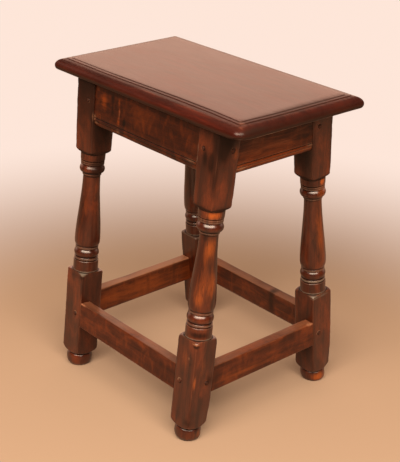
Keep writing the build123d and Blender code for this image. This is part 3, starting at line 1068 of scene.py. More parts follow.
    def build(self, material: Material) -> None:
        """Turns, planes and places the leg.

        Args:
            material: its wood.
        """
        work = Workpiece()
        work.chain((radius, 0.0, height) for radius, height in self.outline())
        bmesh.ops.spin(work.mesh, geom=[*work.mesh.verts, *work.mesh.edges], cent=(0, 0, 0), axis=(0, 0, 1),
                       dvec=(0, 0, 0), angle=2 * math.pi, steps=self.steps, use_merge=True)
        work.reshape(self.shaped)
        for spot in self.pegs():
            self._sink_peg(work, spot)
        shift = (self.seed * 0.31, self.seed * 0.17 + 0.02, self.seed * 0.53)
        patina = Patina((*self.common_marks(), *self.peg_marks(), *self.marks), grain_shift=shift,
                        rub_gain=0.30, soil_gain=1.5)
        work.finish("leg_" + "_".join(self.ends), self.place, material, "leg_wood", patina,
                    levels=(0.0, STOOL.underside))

    def _sink_peg(self, work: Workpiece, spot: Vector) -> None:
        """Opens a shallow seat round one peg.

        Args:
            work: the leg on the bench.
            spot: where the peg comes out.
        """
        face_axis = 1 if spot.x < 0 else 0
        near = [face for face in work.mesh.faces
                if (face.calc_center_median() - spot).length < self.seat_reach]
        edges = list(dict.fromkeys(edge for face in near for edge in face.edges))
        bmesh.ops.subdivide_edges(work.mesh, edges=edges, cuts=3, use_grid_fill=True)
        for vertex in work.mesh.verts:
            away = vertex.co - spot
            if abs(away[face_axis]) <= self.seat_slack:
                away[face_axis] = 0.0
                sink = self.seat_depth * clamp((self.seat_radius - away.length) / self.seat_rim)
                vertex.co[face_axis] -= math.copysign(sink, spot[face_axis])


# ---------------- rails
class Side(Enum):
    """Which side of the stool a rail is on."""

    FRONT = "front"
    BACK = "back"
    RIGHT = "right"
    LEFT = "left"

    @property
    def is_long(self) -> bool:
        """Whether the rail runs along the length of the top."""
        return self in (Side.FRONT, Side.BACK)


@dataclass
class Rail:
    """A rail between two legs, shaped lying along x, its outer face towards -y, z up the leg."""

    side: Side
    seed: float
    marks: Sequence[Mark] = ()
    kind: str = "rail"
    recess: float = 1.5
    thickness: float = 20.0
    segments: int = 72
    rub: float = 0.32
    planing: float = 0.12
    shoulder_rim: float = 0.8

    @property
    def top(self) -> float:
        """Where the underside of the seat is, measured along this rail."""
        return STOOL.leg_length if self.side.is_long else STOOL.underside

    @property
    def face(self) -> float:
        """Where the outer face is."""
        return self.recess - STOOL.leg_half

    @property
    def tenon(self) -> Point:
        """Bottom and top of the tenons."""
        raise NotImplementedError

    def section(self) -> list[Point]:
        """Section, up the back, over the top and down the face.

        Returns:
            Its points, as depth behind the face and height.
        """
        raise NotImplementedError

    def half_length(self, height: float) -> float:
        """From the middle to the shoulder, at a height."""
        if self.side.is_long:
            return STOOL.leg_x - STOOL.leg_half
        return STOOL.leg_y(height) - STOOL.leg_half / math.cos(STOOL.tilt)

    def worn(self, place: Vector) -> Vector:
        """Wears one point of the finished rail."""
        raise NotImplementedError

    def place(self) -> Matrix:
        """From the rail's own coordinates to the frame.

        Returns:
            Its shift and turn.
        """
        if self.side.is_long:
            return STOOL.side_place(self.side is Side.FRONT)
        turn = math.pi / 2 if self.side is Side.RIGHT else -math.pi / 2
        return Matrix.Rotation(turn, 4, "Z") @ Matrix.Translation((0, -STOOL.leg_x, 0))

    def build(self, material: Material) -> None:
        """Runs the section between the shoulders, cuts the tenons and places the rail.

        Args:
            material: its wood.
        """
        work = Workpiece()
        edges = work.chain([(-1.0, self.face + depth, height) for depth, height in self.section()], True)
        first = edges
        for _ in range(self.segments):
            corners, edges = work.extend(edges)
            bmesh.ops.translate(work.mesh, verts=corners, vec=(2.0 / self.segments, 0, 0))
        ends = [work.close(first), work.close(edges)]
        work.reshape(lambda place: self.worn(Vector((place.x * self.half_length(place.z), place.y, place.z))))
        for end, out in zip(ends, (-1.0, 1.0)):
            self._cut_tenon(work, end, out)
        patina = Patina(self.marks, (1, 2, 0), (self.seed * 0.23 + 0.04, self.seed * 0.41, self.seed),
                        rub_gain=self.rub, soil_gain=1.3)
        work.finish(f"{self.kind}_{self.side.value}", self.place(), material, "rail_wood", patina,
                    levels=(None, STOOL.underside))

    def _cut_tenon(self, work: Workpiece, end: bmesh.types.BMFace, out: float) -> None:
        """Leaves a tenon standing on one end of the rail.

        Args:
            work: the rail on the bench.
            end: the face at that end.
            out: 1 at the end towards +x, -1 at the other.
        """
        front = self.face + STOOL.tenon_setback
        bmesh.ops.inset_region(work.mesh, faces=[end], thickness=self.shoulder_rim, use_even_offset=True)
        for vertex in end.verts:
            height = clamp(vertex.co.z, *self.tenon)
            vertex.co = Vector((out * self.half_length(height),
                                clamp(vertex.co.y, front, front + STOOL.tenon_thickness), height))
        made = bmesh.ops.extrude_discrete_faces(work.mesh, faces=[end])["faces"][0]
        bmesh.ops.translate(work.mesh, verts=made.verts, vec=(out * STOOL.tenon_length, 0, 0))
        bmesh.ops.remove_doubles(work.mesh, verts=work.mesh.verts, dist=0.01)


@dataclass
class Apron(Rail):
    """Apron with a bead and an ovolo run along its lower edge."""

    kind: str = "apron"
    segments: int = 110
    rub: float = 0.10
    depth: float = 77.4
    moulding: float = 14.4
    ovolo: float = 7.9
    quirk: float = 1.3
    quirk_height: float = 0.9
    bead_proud: float = 0.3
    setback: float = 4.2
    softening: float = 0.5
    into_top: float = 3.0
    tenon_margins: Point = (14.4, 11.0)

    @property
    def tenon(self) -> Point:
        """Bottom and top of the tenons."""
        return self.low + self.tenon_margins[0], self.top - self.tenon_margins[1]

    @property
    def low(self) -> float:
        """Lower edge."""
        return self.top - self.depth

    def section(self) -> list[Point]:
        """Section, up the back, over the top and down the face.

        Returns:
            Its points, as depth behind the face and height.
        """
        low, high = self.low, self.top + self.into_top
        made = Outline((self.thickness, low)).lines(
            (self.thickness, high, 6.0), (0.0, high, 5.0), (0.0, low + self.moulding + 0.5, 2.4),
            (0.15, low + self.moulding, 0.5), (self.quirk, low + self.moulding - self.quirk_height, 0.5))
        made.bulge((self.quirk, low + self.ovolo), -self.bead_proud, 8)
        made.line((self.quirk, low + self.ovolo - self.quirk_height), 0.5)
        made.quarter((self.setback, low), False, 8)
        return made.line((self.thickness, low), 4.0).points[:-1]

    def worn(self, place: Vector) -> Vector:
        """Softens the moulding here and there, and planes the face by hand.

        Args:
            place: a point of the rail.

        Returns:
            Where it ends up.
        """
        dip = self.planing * (1 + wander(place.x * 0.012, place.z * 0.03, self.seed))
        if place.z < self.low + self.moulding + 1.0:
            dip += max(0.0, self.softening * wander(place.x * 0.03, 3.0, self.seed + 2))
        if place.y < self.face + self.setback + 0.5:
            place.y += dip
        if place.z < self.low + 0.5:
            place.z += max(0.0, self.softening * wander(place.x * 0.025, 8.0, self.seed))
        return place


@dataclass
class Stretcher(Rail):
    """Plain stretcher, worn by feet on its upper outer edge."""

    kind: str = "stretcher"
    recess: float = 0.8
    thickness: float = 19.5
    bottom: float = 83.5
    top_edge: float = 130.5
    arris: float = 1.6
    back_arris: float = 0.8
    worn_down: float = 1.0
    worn_depth: float = 6.0
    face_wear: float = 0.9
    tenon_margins: Point = (4.0, 6.0)

    @property
    def tenon(self) -> Point:
        """Bottom and top of the tenons."""
        return self.bottom + self.tenon_margins[0], self.top_edge - self.tenon_margins[1]

    def section(self) -> list[Point]:
        """Section, up the back, over the top and down the face.

        Returns:
            Its points, as depth behind the face and height.
        """
        back, inner = self.thickness, self.thickness - self.back_arris
        made = Outline((inner, self.bottom)).lines(
            (back, self.bottom + self.back_arris, 1.0), (back, self.top_edge - 1.0, 5.0))
        made.quarter((back - 1.0, self.top_edge), False, 4)
        made.line((self.arris, self.top_edge), 2.2).quarter((0.0, self.top_edge - self.arris), True, 6)
        made.line((0.0, self.bottom + self.arris), 3.0).quarter((self.arris, self.bottom), False, 4)
        return made.line((inner, self.bottom), 4.0).points[:-1]

    def worn(self, place: Vector) -> Vector:
        """Wears the top down between the legs, most at its outer edge.

        Args:
            place: a point of the rail.

        Returns:
            Where it ends up.
        """
        share = 1.0 - min(1.0, abs(place.x) / self.half_length(place.z)) ** 2
        near_top = clamp((place.z - self.top_edge + self.worn_depth) / self.worn_depth)
        outwards = clamp((-place.y + 4.0) / STOOL.leg_half)
        ripple = 0.75 + 0.5 * wander(place.x * 0.02, self.seed, 4.0)
        place.z -= self.worn_down * share * near_top * (0.35 + 0.65 * outwards) * ripple
        if place.y < self.face + 2.5:
            place.y += self.planing * (1 + wander(place.x * 0.014, place.z * 0.04, self.seed))
            place.y += self.face_wear * share * near_top ** 2 * max(0.0, ripple)
        return place


# ---------------- seat
@dataclass
class SeatTop:
    """The top board, a flat field inside a sunk band and a broad nose.

    The front moulding drifts inwards from drift_from over drift_over, and comes part of the way back from
    return_from over return_over, all in x. The right end's drifts inwards towards the near corner, from
    end_from over end_over, both counted from the middle to the front.
    """

    marks: Sequence[Mark] = ()
    length: float = 466.0
    width: float = 272.0
    moulding: float = 22.0
    band: float = 7.4
    band_drop: float = 0.8
    nose_quirk: float = 2.0
    nose_height: float = 14.3
    corner: float = 1.4
    under_inset: float = 3.2
    under_turn: float = math.radians(72.0)
    edge_fall: float = 0.30
    edge_reach: float = 34.0
    front_drift: float = 5.5
    drift_from: float = -110.0
    drift_over: float = 180.0
    front_return: float = 2.5
    return_from: float = 150.0
    return_over: float = 60.0
    end_drift: float = 2.5
    end_from: float = 50.0
    end_over: float = 60.0
    worn_corner: float = 14.0
    unevenness: float = 0.10
    nose_unevenness: float = 0.22
    seed: float = 4.0

    @property
    def nose(self) -> float:
        """How far in the nose reaches, up to the band."""
        return self.moulding - self.band

    def rings(self) -> list[Triple]:
        """Outline from the field to the underside: in from the edge, depth under the field, corner radius.

        Returns:
            The rings, from the inside out.
        """
        start, drop, nose, round_nose = self.moulding, self.band_drop, self.nose, self.corner
        deep, under = STOOL.top_thickness - self.nose_height, self.nose_height - self.nose_quirk
        made = [(start + 6.0, 0.0, 0.3), (start + 3.6, 0.02, 0.3), (start + 1.8, 0.06, 0.4),
                (start + 0.6, 0.14, 0.4), (start, 0.26, 0.6), (start - 0.3, drop - 0.06, 0.6),
                (start - 0.9, drop + 0.06, 0.7), (start - 3.2, drop + 0.22, 0.8),
                (nose + 1.6, drop + 0.42, 1.2), (nose + 0.8, drop + 0.56, 1.3),
                (nose + 0.4, drop + 0.95, round_nose),
                (nose, drop + 1.22, round_nose), (nose - 0.5, drop + 1.32, round_nose),
                (nose - 2.6, drop + 1.66, round_nose)]
        for i in range(4, 17):
            turn = math.pi / 2 * i / 16
            sunk = self.nose_quirk + under * (1 - math.cos(turn))
            made.append((nose * (1 - math.sin(turn)), sunk, round_nose))
        for i in range(1, 9):
            turn = self.under_turn * i / 8
            share = (1 - math.cos(turn)) / (1 - math.cos(self.under_turn))
            sunk = deep * math.sin(turn) / math.sin(self.under_turn) - 0.3 * share
            made.append((self.under_inset * share, self.nose_height + sunk, round_nose))
        return made + [(self.under_inset + away, STOOL.top_thickness, round_nose) for away in (0.4, 3.0)]

    @staticmethod
    def stations(half: float) -> list[float]:
        """Where a side of the board has vertices, close together at the corners.

        Args:
            half: half the length of the side.

        Returns:
            Their places, as shares of that half.
        """
        from_corner = [0.0, 0.8, 1.7, 2.8, 4.2, 6.0, 9.0, 13.0, 18.0, 25.0]
        count = round((half - 25.0) / 8.0)
        inner = [25.0 + (half - 25.0) * i / count for i in range(1, count + 1)]
        places = [1.0 - away / half for away in from_corner + inner]
        return sorted({round(sign * place, 6) for place in places for sign in (-1, 1)})

    def build(self, material: Material) -> None:
        """Planes the field, runs the moulding round it and places the board.

        Args:
            material: its wood.
        """
        along, across = self.stations(self.length / 2), self.stations(self.width / 2)
        field, *rings = self.rings()
        work = Workpiece()
        bmesh.ops.create_grid(work.mesh, x_segments=len(along) - 1, y_segments=len(across) - 1, size=1.0)
        shares = {}
        for vertex in work.mesh.verts:
            shares[vertex] = (along[round((vertex.co.x + 1) / 2 * (len(along) - 1))],
                              across[round((vertex.co.y + 1) / 2 * (len(across) - 1))])
            vertex.co = self._spot(*shares[vertex], *field)
        edges = [edge for edge in work.mesh.edges if edge.is_boundary]
        for ring in rings:
            shares_at = {tuple(vertex.co): shares[vertex] for edge in edges for vertex in edge.verts}
            corners, edges = work.extend(edges)
            for vertex in corners:
                shares[vertex] = shares_at[tuple(vertex.co)]
                vertex.co = self._spot(*shares[vertex], *ring)
        work.close(edges)
        patina = Patina(self.marks, (1, 2, 0), (0.11, 0.23, 0.0), rub_gain=0.35, soil_gain=1.1)
        work.finish("seat_top", Matrix.Identity(4), material, "top_wood", patina, crease=42.0)

    def _spot(self, along: float, across: float, inset: float, depth: float, corner: float) -> Vector:
        """One vertex of a ring of the board.

        Args:
            along: share of the half length.
            across: share of the half width.
            inset: in from the edge.
            depth: under the field.
            corner: radius of the ring's corners.

        Returns:
            The place.
        """
        half_x, half_y = self.length / 2 - inset, self.width / 2 - inset
        x, y, z = along * half_x, across * half_y, STOOL.height - depth
        if along > 0 and across < 0:
            below = max(0.0, depth - self.nose_height) / (STOOL.top_thickness - self.nose_height)
            corner += self.worn_corner * max(0.12, 1.0 - inset / self.nose + 1.1 * below)
        over_x, over_y = abs(x) - (half_x - corner), abs(y) - (half_y - corner)
        if max(abs(along), abs(across)) > 0.999999 and over_x > 0 and over_y > 0:
            pull = corner / math.hypot(over_x, over_y)
            x = math.copysign(half_x - corner + over_x * pull, x)
            y = math.copysign(half_y - corner + over_y * pull, y)
        if depth < self.nose_height:
            x, y = self._drifted(x, y, min(1.0, inset / self.nose), max(0.0, along), max(0.0, -across))
        if inset < self.nose - 1.0:
            rub = max(0.0, self.nose_unevenness * wander(x * 0.02, y * 0.02, self.seed + depth * 0.05))
            x, y = x * (1 - rub / half_x), y * (1 - rub / half_y)
        elif inset > self.moulding - 0.1:
            inside = min(self.length / 2 - abs(x), self.width / 2 - abs(y)) - self.moulding
            z -= self.edge_fall * max(0.0, 1.0 - inside / self.edge_reach) ** 2
            dip = self.unevenness * (1 + wander(x * 0.008, y * 0.012, self.seed))
            z -= max(0.0, dip) * clamp((inside - 6) / 20)
        return Vector((x, y, z))

    def _drifted(self, x: float, y: float, share: float, to_right: float, to_front: float) -> Point:
        """Shifts a point of the moulding with the hand that ran it.

        Args:
            x: place along the board.
            y: place across the board.
            share: how far in from the nose it is, where the band is 1.
            to_right: its share of the way to the right end.
            to_front: its share of the way to the front.

        Returns:
            The new place.
        """
        front = (self.front_drift * clamp((x - self.drift_from) / self.drift_over)
                 - self.front_return * clamp((x - self.return_from) / self.return_over))
        end = self.end_drift * clamp((-y - self.end_from) / self.end_over)
        return x - end * share * to_right, y + front * share * to_front


# ---------------- pegs and screws
@dataclass
class Pegs:
    """Riven pegs, driven through the tenons from outside."""

    radius: float = 3.2
    taper: float = 0.6
    length: float = 26.0
    proud: float = 0.7
    bevel: float = 0.7
    facets: int = 10
    slant: float = 0.15
    unevenness: float = 0.04

    def build(self, legs: Sequence[Leg], material: Material) -> None:
        """Makes the four pegs of each leg.

        Args:
            legs: the legs.
            material: the pegs' end grain.
        """
        for leg in legs:
            for number, spot in enumerate(leg.pegs()):
                self._peg(leg, number, spot, material)

    def _peg(self, leg: Leg, number: int, spot: Vector, material: Material) -> None:
        """Makes one peg.

        Args:
            leg: the leg that it is in.
            number: its number on that leg: long and short side above, then below.
            spot: where it comes out, in the leg's own coordinates.
            material: its end grain.
        """
        work = Workpiece()
        bmesh.ops.create_cone(
            work.mesh, cap_ends=True, segments=self.facets, radius1=self.radius - self.taper,
            radius2=self.radius, depth=self.length + self.proud)
        bmesh.ops.translate(work.mesh, verts=work.mesh.verts, vec=(0, 0, (self.proud - self.length) / 2))
        top = max(work.mesh.faces, key=lambda face: face.calc_center_median().z)
        bmesh.ops.bevel(work.mesh, geom=list(top.edges), offset=self.bevel, segments=3, profile=0.5,
                        affect="EDGES", material=-1)
        seed = leg.seed * 3 + number
        for vertex in work.mesh.verts:
            turn = math.atan2(vertex.co.y, vertex.co.x)
            scale = 1.0 - self.unevenness * (1 + wander(math.cos(turn), math.sin(turn), seed))
            vertex.co.x *= scale
            vertex.co.y *= scale
            vertex.co.z += self.slant * vertex.co.x / self.radius if vertex.co.z > 0 else 0.0
        rail = "apron" if number < 2 else "stretcher"
        axis, ends = ("Y", leg.ends[::-1]) if number % 2 else ("X", leg.ends)
        place = leg.place @ Matrix.Translation(spot) @ Matrix.Rotation(math.pi / 2, 4, axis)
        patina = Patina(grain_shift=(seed * 0.1, seed * 0.07, seed * 0.3), rub_gain=0.22)
        work.finish("_".join(("peg", rail, *ends)), place, material, "peg_wood", patina, crease=40.0)


@dataclass
class TopScrews:
    """The pocket screws, whose solids stay as they are."""

    names: tuple[str, ...] = ("front_left", "front_right", "back_right", "back_left", "right", "left")

    def dress(self, material: Material) -> None:
        """Covers the screws.

        Args:
            material: their steel.
        """
        for name in self.names:
            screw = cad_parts[f"top_screw_{name}"]
            screw.data.materials.clear()
            screw.data.materials.append(material)
            LOG.info("%s: steel", screw.name)


# ---------------- studio
@dataclass(frozen=True)
class Lamp:
    """A rectangular lamp that looks at the stool, in metres and degrees, its azimuth counted from +x."""

    name: str
    azimuth: float
    power: float
    elevation: float = 42.0
    distance: float = 2.6
    size: Point = (1.85, 1.10)
    colour: Colour = (1.0, 0.80, 0.61)
    aim: Triple = (0.0, 0.0, 0.3)

    def hang(self) -> None:
        """Hangs the lamp."""
        data = bpy.data.lights.new(self.name, "AREA")
        data.shape = "RECTANGLE"
        data.size, data.size_y = self.size
        data.energy = self.power
        data.color = self.colour
        lamp = add_object(self.name, data)
        turn, rise = math.radians(self.azimuth), math.radians(self.elevation)
        back = Vector((math.cos(turn) * math.cos(rise), math.sin(turn) * math.cos(rise), math.sin(rise)))
        lamp.location = Vector(self.aim) + back * self.distance
        lamp.rotation_mode = "QUATERNION"
        lamp.rotation_quaternion = back.to_track_quat("Z", "Y")


@dataclass
class Studio:
    """Camera, light and floor. Lengths in metres, angles in degrees."""

    camera_place: Triple = (1.3688, -1.2196, 1.1136)
    yaw: float = -48.25
    pitch: float = 24.51
    roll: float = 1.64
    lens: float = 89.81
    sensor: float = 36.0
    clip: Point = (0.05, 50.0)
    floor_half: float = 9.0
    wall_direction: Triple = (-0.74, 0.67, 0.0)
    wall_spread: Point = (0.0, 0.75)
    wall_top: Point = (0.54, 0.26)
    wall_foot: Point = (0.16, 0.25)
    foot_share: float = 0.4
    room_rise: Point = (0.55, 0.85)
    wall: Colour = (2.45, 1.44, 1.04)
    room_low: Colour = (0.085, 0.060, 0.042)
    room_high: Colour = (0.42, 0.31, 0.22)
    lamps: tuple[Lamp, ...] = (Lamp("key", -70.0, 66.0), Lamp("fill", -20.0, 62.0))

    def build(self) -> None:
        """Sets up everything that isn't the stool."""
        self._camera()
        self._floor()
        self._world()
        for lamp in self.lamps:
            lamp.hang()
        bpy.context.scene.view_settings.view_transform = "Standard"

    def _camera(self) -> None:
        """Puts the camera at the viewing angle."""
        data = bpy.data.cameras.new("camera")
        data.lens = self.lens
        data.sensor_width = self.sensor
        data.clip_start, data.clip_end = self.clip
        camera = add_object("camera", data)
        bpy.context.scene.camera = camera
        yaw, pitch, roll = (math.radians(angle) for angle in (self.yaw, self.pitch, self.roll))
        ahead = Vector((math.sin(yaw) * math.cos(pitch), math.cos(yaw) * math.cos(pitch), -math.sin(pitch)))
        level = Vector((math.cos(yaw), -math.sin(yaw), 0.0))
        upright = level.cross(ahead)
        right = math.cos(roll) * level + math.sin(roll) * upright
        up = math.cos(roll) * upright - math.sin(roll) * level
        turn = Matrix((right, up, -ahead)).transposed().to_4x4()
        camera.matrix_world = Matrix.Translation(self.camera_place) @ turn

    def _floor(self) -> None:
        """Lays the floor."""
        work = bmesh.new()
        bmesh.ops.create_grid(work, x_segments=1, y_segments=1, size=self.floor_half)
        data = bpy.data.meshes.new("floor")
        work.to_mesh(data)
        work.free()
        data.materials.append(FloorFinish().material())
        add_object("floor", data)

    def _world(self) -> None:
        """Soft room light, brightest behind the stool where the pale wall stands."""
        world = bpy.data.worlds.new("room")
        bpy.context.scene.world = world
        world.use_nodes = True
        graph = Graph(world.node_tree)
        ahead = graph.node("ShaderNodeTexCoord").outputs["Generated"]
        facing = graph.value("ShaderNodeVectorMath", "Value", {"operation": "DOT_PRODUCT"},
                             {0: ahead, 1: self.wall_direction})
        high = graph.value("ShaderNodeSeparateXYZ", "Z", {}, {0: ahead})
        wall = graph.between(facing, *self.wall_spread) * graph.between(high, *self.wall_top)
        wall = wall * (graph.between(high, *self.wall_foot) * (1.0 - self.foot_share) + self.foot_share)
        room = graph.mix(graph.between(high, *self.room_rise), self.room_low, self.room_high)
        seen = graph.value("ShaderNodeLightPath", "Is Camera Ray")
        colour = graph.mix(seen, graph.mix(wall, room, self.wall), BACKDROP)
        light = graph.node("ShaderNodeBackground", {}, {"Color": colour, "Strength": 1.0})
        graph.node("ShaderNodeOutputWorld", {}, {"Surface": light.outputs["Background"]})


# ---------------- assembly
LEG_WOOD = WoodFinish(
    "leg_wood_waxed", dark=(0.026, 0.0042, 0.0015), middle=(0.098, 0.0165, 0.0040),
    light=(0.175, 0.029, 0.005), bare=(0.38, 0.078, 0.006), rubbed_and_highlight=(0.34, 0.14, 0.07),
    # Grey-brown dusting colour: dusting and a painted silvery sheen on the turnings.
    soil=(0.014, 0.006, 0.004), dust=(0.17, 0.135, 0.105), ring_share=0.38, streak_share=0.48, shine=0.25,
    coat=1.0, coat_ior=1.62, coat_roughness=0.22, bump=0.10)
APRON_WOOD = WoodFinish(
    "apron_wood_waxed", dark=(0.018, 0.004, 0.0022), middle=(0.056, 0.011, 0.0038),
    light=(0.12, 0.023, 0.004), bare=(0.24, 0.045, 0.006), rubbed_and_highlight=(0.36, 0.18, 0.10),
    # The near-black dirt colour here also paints the shadow under the top.
    soil=(0.005, 0.0022, 0.0012), curl_share=0.55, blotch_share=0.5)
STRETCHER_WOOD = WoodFinish(
    "stretcher_wood_waxed", dark=(0.032, 0.006, 0.0025), middle=(0.113, 0.0222, 0.0070),
    light=(0.20, 0.040, 0.008), bare=(0.30, 0.068, 0.010), rubbed_and_highlight=(0.34, 0.14, 0.07),
    # Dusting colour: dusting and a painted sheen on the upper faces.
    dust=(0.34, 0.145, 0.075), curl_share=0.4)
TOP_WOOD = WoodFinish(
    "top_wood_polished", dark=(0.028, 0.0035, 0.0014), middle=(0.058, 0.0065, 0.0026),
    light=(0.082, 0.011, 0.0035), bare=(0.22, 0.024, 0.005), rubbed_and_highlight=(0.26, 0.09, 0.055),
    # The pale dusting colour here only paints the highlight along the lower edge of the right-hand nose; the
    # dirt colour also paints shade under the nose.
    soil=(0.026, 0.0105, 0.0068), dust=(0.45, 0.36, 0.28), shine=0.3, ring_share=0.3, streak_share=0.6,
    blotch_share=0.45, roughness=0.33, rough_spread=0.14, coat=0.8, coat_ior=1.38, coat_roughness=0.24,
    bump=0.09)
PEG_WOOD = WoodFinish(
    "peg_end_grain", dark=(0.020, 0.005, 0.003), middle=(0.070, 0.015, 0.006), light=(0.12, 0.026, 0.008),
    bare=(0.2, 0.06, 0.02), rubbed_and_highlight=(0.22, 0.10, 0.06), ring_spacing=0.001, roughness=0.45)


def make_legs() -> list[Leg]:
    """Gives each leg its own wear, and its painted highlights and painted shade.

    Returns:
        The four legs.
    """
    near = Leg(
        front=True, right=True, seed=1.0, shoulder_fall=12.0,
        peg_highlight_and_shade=((0, (-1.0, 0.0, -0.6), 0.3), (1, (0.0, -1.0, 0.4), 0.55), (2, (-0.7, 0.0, 1.0), 0.95),
                  (3, (0.0, -0.6, 1.0), 0.3)),
        chips=(Chip(177.8, -43.0, 3.0, 12.0, 0.4), Chip(52.0, -44.0, 4.0, 6.0, 0.8),
               Chip(29.0, 45.0, 30.0, 24.0, 2.6)),
        marks=(
            # Painted highlight: the first two rubbing marks, with the two dusting marks further down, light
            # the arris where the apron meets the leg; the mark at the shoulder's corner is chip wear with a
            # painted highlight.
            *marks_of(Layer.RUB, (-23, -24, 500, 2.5, 4, 8, 1.1), (-23, -24, 483, 2.5, 4, 5, 1.1),
                      (17.5, -20.5, 182.8, 7, 6, 0.9, 1.1), (23, -18.5, 116, 2, 2, 10, 0.35),
                      (22, -19, 86, 2, 2, 6, 0.4), (8.6, -23, 153, 2, 3, 2.2, 0.9)),
            *marks_of(Layer.BARE, (16.1, -10.6, 401, 13, 13, 7, 0.82), (18, -6, 346, 11, 11, 17, 0.42),
                      (14, -13, 330, 16, 16, 30, 0.3), (15, -13, 275, 20, 20, 26, 0.36),
                      (19.4, 0.7, 285, 6, 9, 28, 0.3), (9, -17, 253, 8, 8, 12, 0.4),
                      (24, 15.5, 499, 6, 8, 14, 0.45), (-16, -23, 498, 4, 5, 10, 0.2),
                      (23, -18.5, 112, 3.5, 3, 13, 0.7), (0, -23, 148, 10, 5, 22, 0.3),
                      (23, -4, 140, 5, 9, 26, 0.3), (20, 2, 12, 9, 12, 9, 0.45)),
            # Dusting and painted sheen on the shoulder.
            *bands_of(Layer.DUST, (185.5, 2.2, 0.3)),
            # Painted highlight on the arris where the apron meets the leg.
            *marks_of(Layer.DUST, (-24, -23, 500, 3.6, 4.5, 9, 1.3), (-24, -23, 482, 3.6, 4.5, 5, 1.1)),
            # Painted shadow with dirt down the upper block below the top, and painted shade at its foot.
            *bands_of(Layer.SOIL, (480, 50, 0.31), (413, 5, 0.3)),
            # Among these, (-3, -23, 490), (11, -23, 486) and (24, -12, 515) paint shadow from the top, with
            # dirt.
            *marks_of(Layer.SOIL, (7.9, -17.6, 361, 8, 8, 7, 0.7), (0, -20, 300, 7, 7, 60, 0.3),
                      (-3, -23, 490, 5, 6, 13, 0.55), (11, -23, 486, 6, 6, 16, 0.65),
                      (24, -12, 515, 9, 16, 26, 0.75), (22, -22, 450, 5, 5, 30, 0.4),
                      (20, -20.5, 178.2, 6.5, 6.5, 2.6, 0.8), (16, -16, 195.5, 22, 22, 7.5, 0.72),
                      (12, -23, 144, 2.5, 3, 4, 0.7), (23, 14, 112, 5, 10, 14, 0.55),
                      (19, -20, 38, 14, 14, 10, 0.5))))
    left = Leg(
        front=True, right=False, seed=2.0, shoulder_fall=2.2, outer_top=26.0, outer_bottom=22.6,
        peg_highlight_and_shade=((0, (-1.0, 0.0, -0.5), 0.55), (2, (-0.6, 0.0, 1.0), 0.85)),
        marks=(
            *marks_of(Layer.RUB, (-22, -23, 477, 2, 4, 7, 0.9)),
            *marks_of(Layer.BARE, (-4, -18, 300, 10, 10, 50, 0.3)),
            *marks_of(Layer.DUST, (-21, -21, 184, 4, 4, 2, 0.9), (-19, -19, 185.8, 9, 9, 1.5, 0.9)),
            *bands_of(Layer.SOIL, (480, 60, 0.44)),
            *marks_of(Layer.SOIL, (-20, -5, 300, 9, 14, 90, 0.35), (-23, -5, 450, 6, 22, 60, 0.55),
                      (0, -24, 505, 30, 8, 45, 0.22), (-20, -21, 179, 5, 5, 3, 0.8),
                      (0, -24, 178, 16, 4, 7, 0.45), (-12, 0, 382, 26, 26, 24, 0.52))))
    right = Leg(
        front=False, right=True, seed=3.0, shoulder_fall=8.0, chips=(Chip(29.0, -45.0, 32.0, 24.0, 3.0),),
        peg_highlight_and_shade=((1, (0.0, 1.0, 0.4), 0.35), (3, (0.0, 0.8, 1.0), 0.95)),
        marks=(
            *marks_of(Layer.RUB, (21, 5, 187, 4, 12, 1.2, 0.6)),
            *marks_of(Layer.BARE, (22, -4, 360, 12, 20, 400, 0.16), (21.5, -1, 402, 4.5, 4, 4.5, 1.1),
                      (20, 4, 383, 9, 14, 12, 0.18), (20, 8, 11, 12, 14, 9, 0.8),
                      (20, 0, 310, 9, 14, 60, 0.35)),
            # Dusting and painted sheen on the shoulders and on the cove over the collar.
            *bands_of(Layer.DUST, (186, 2, 0.2), (211, 2.5, 0.4)),
            *marks_of(Layer.DUST, (19, 19, 184.8, 8, 8, 1.1, 0.9), (24, 0, 181.5, 6, 18, 2.5, 0.5),
                      (20, 20, 181.6, 7, 7, 0.9, 0.8)),
            # (0, 22, 470) and (0, 22, 100) paint shade on the blocks' faces towards the front.
            *marks_of(Layer.SOIL, (16, 16, 396, 14, 12, 14, 0.35), (0, 22, 470, 30, 7, 70, 0.85),
                      (0, 22, 100, 30, 7, 70, 0.6))))
    far = Leg(
        front=False, right=False, seed=4.0, shoulder_fall=4.0,
        # Dusting and painted sheen on the shoulder.
        marks=(*bands_of(Layer.DUST, (184.5, 2, 0.6)),
               *marks_of(Layer.SOIL, (0, 20, 300, 30, 12, 400, 0.25))))
    return [near, left, right, far]


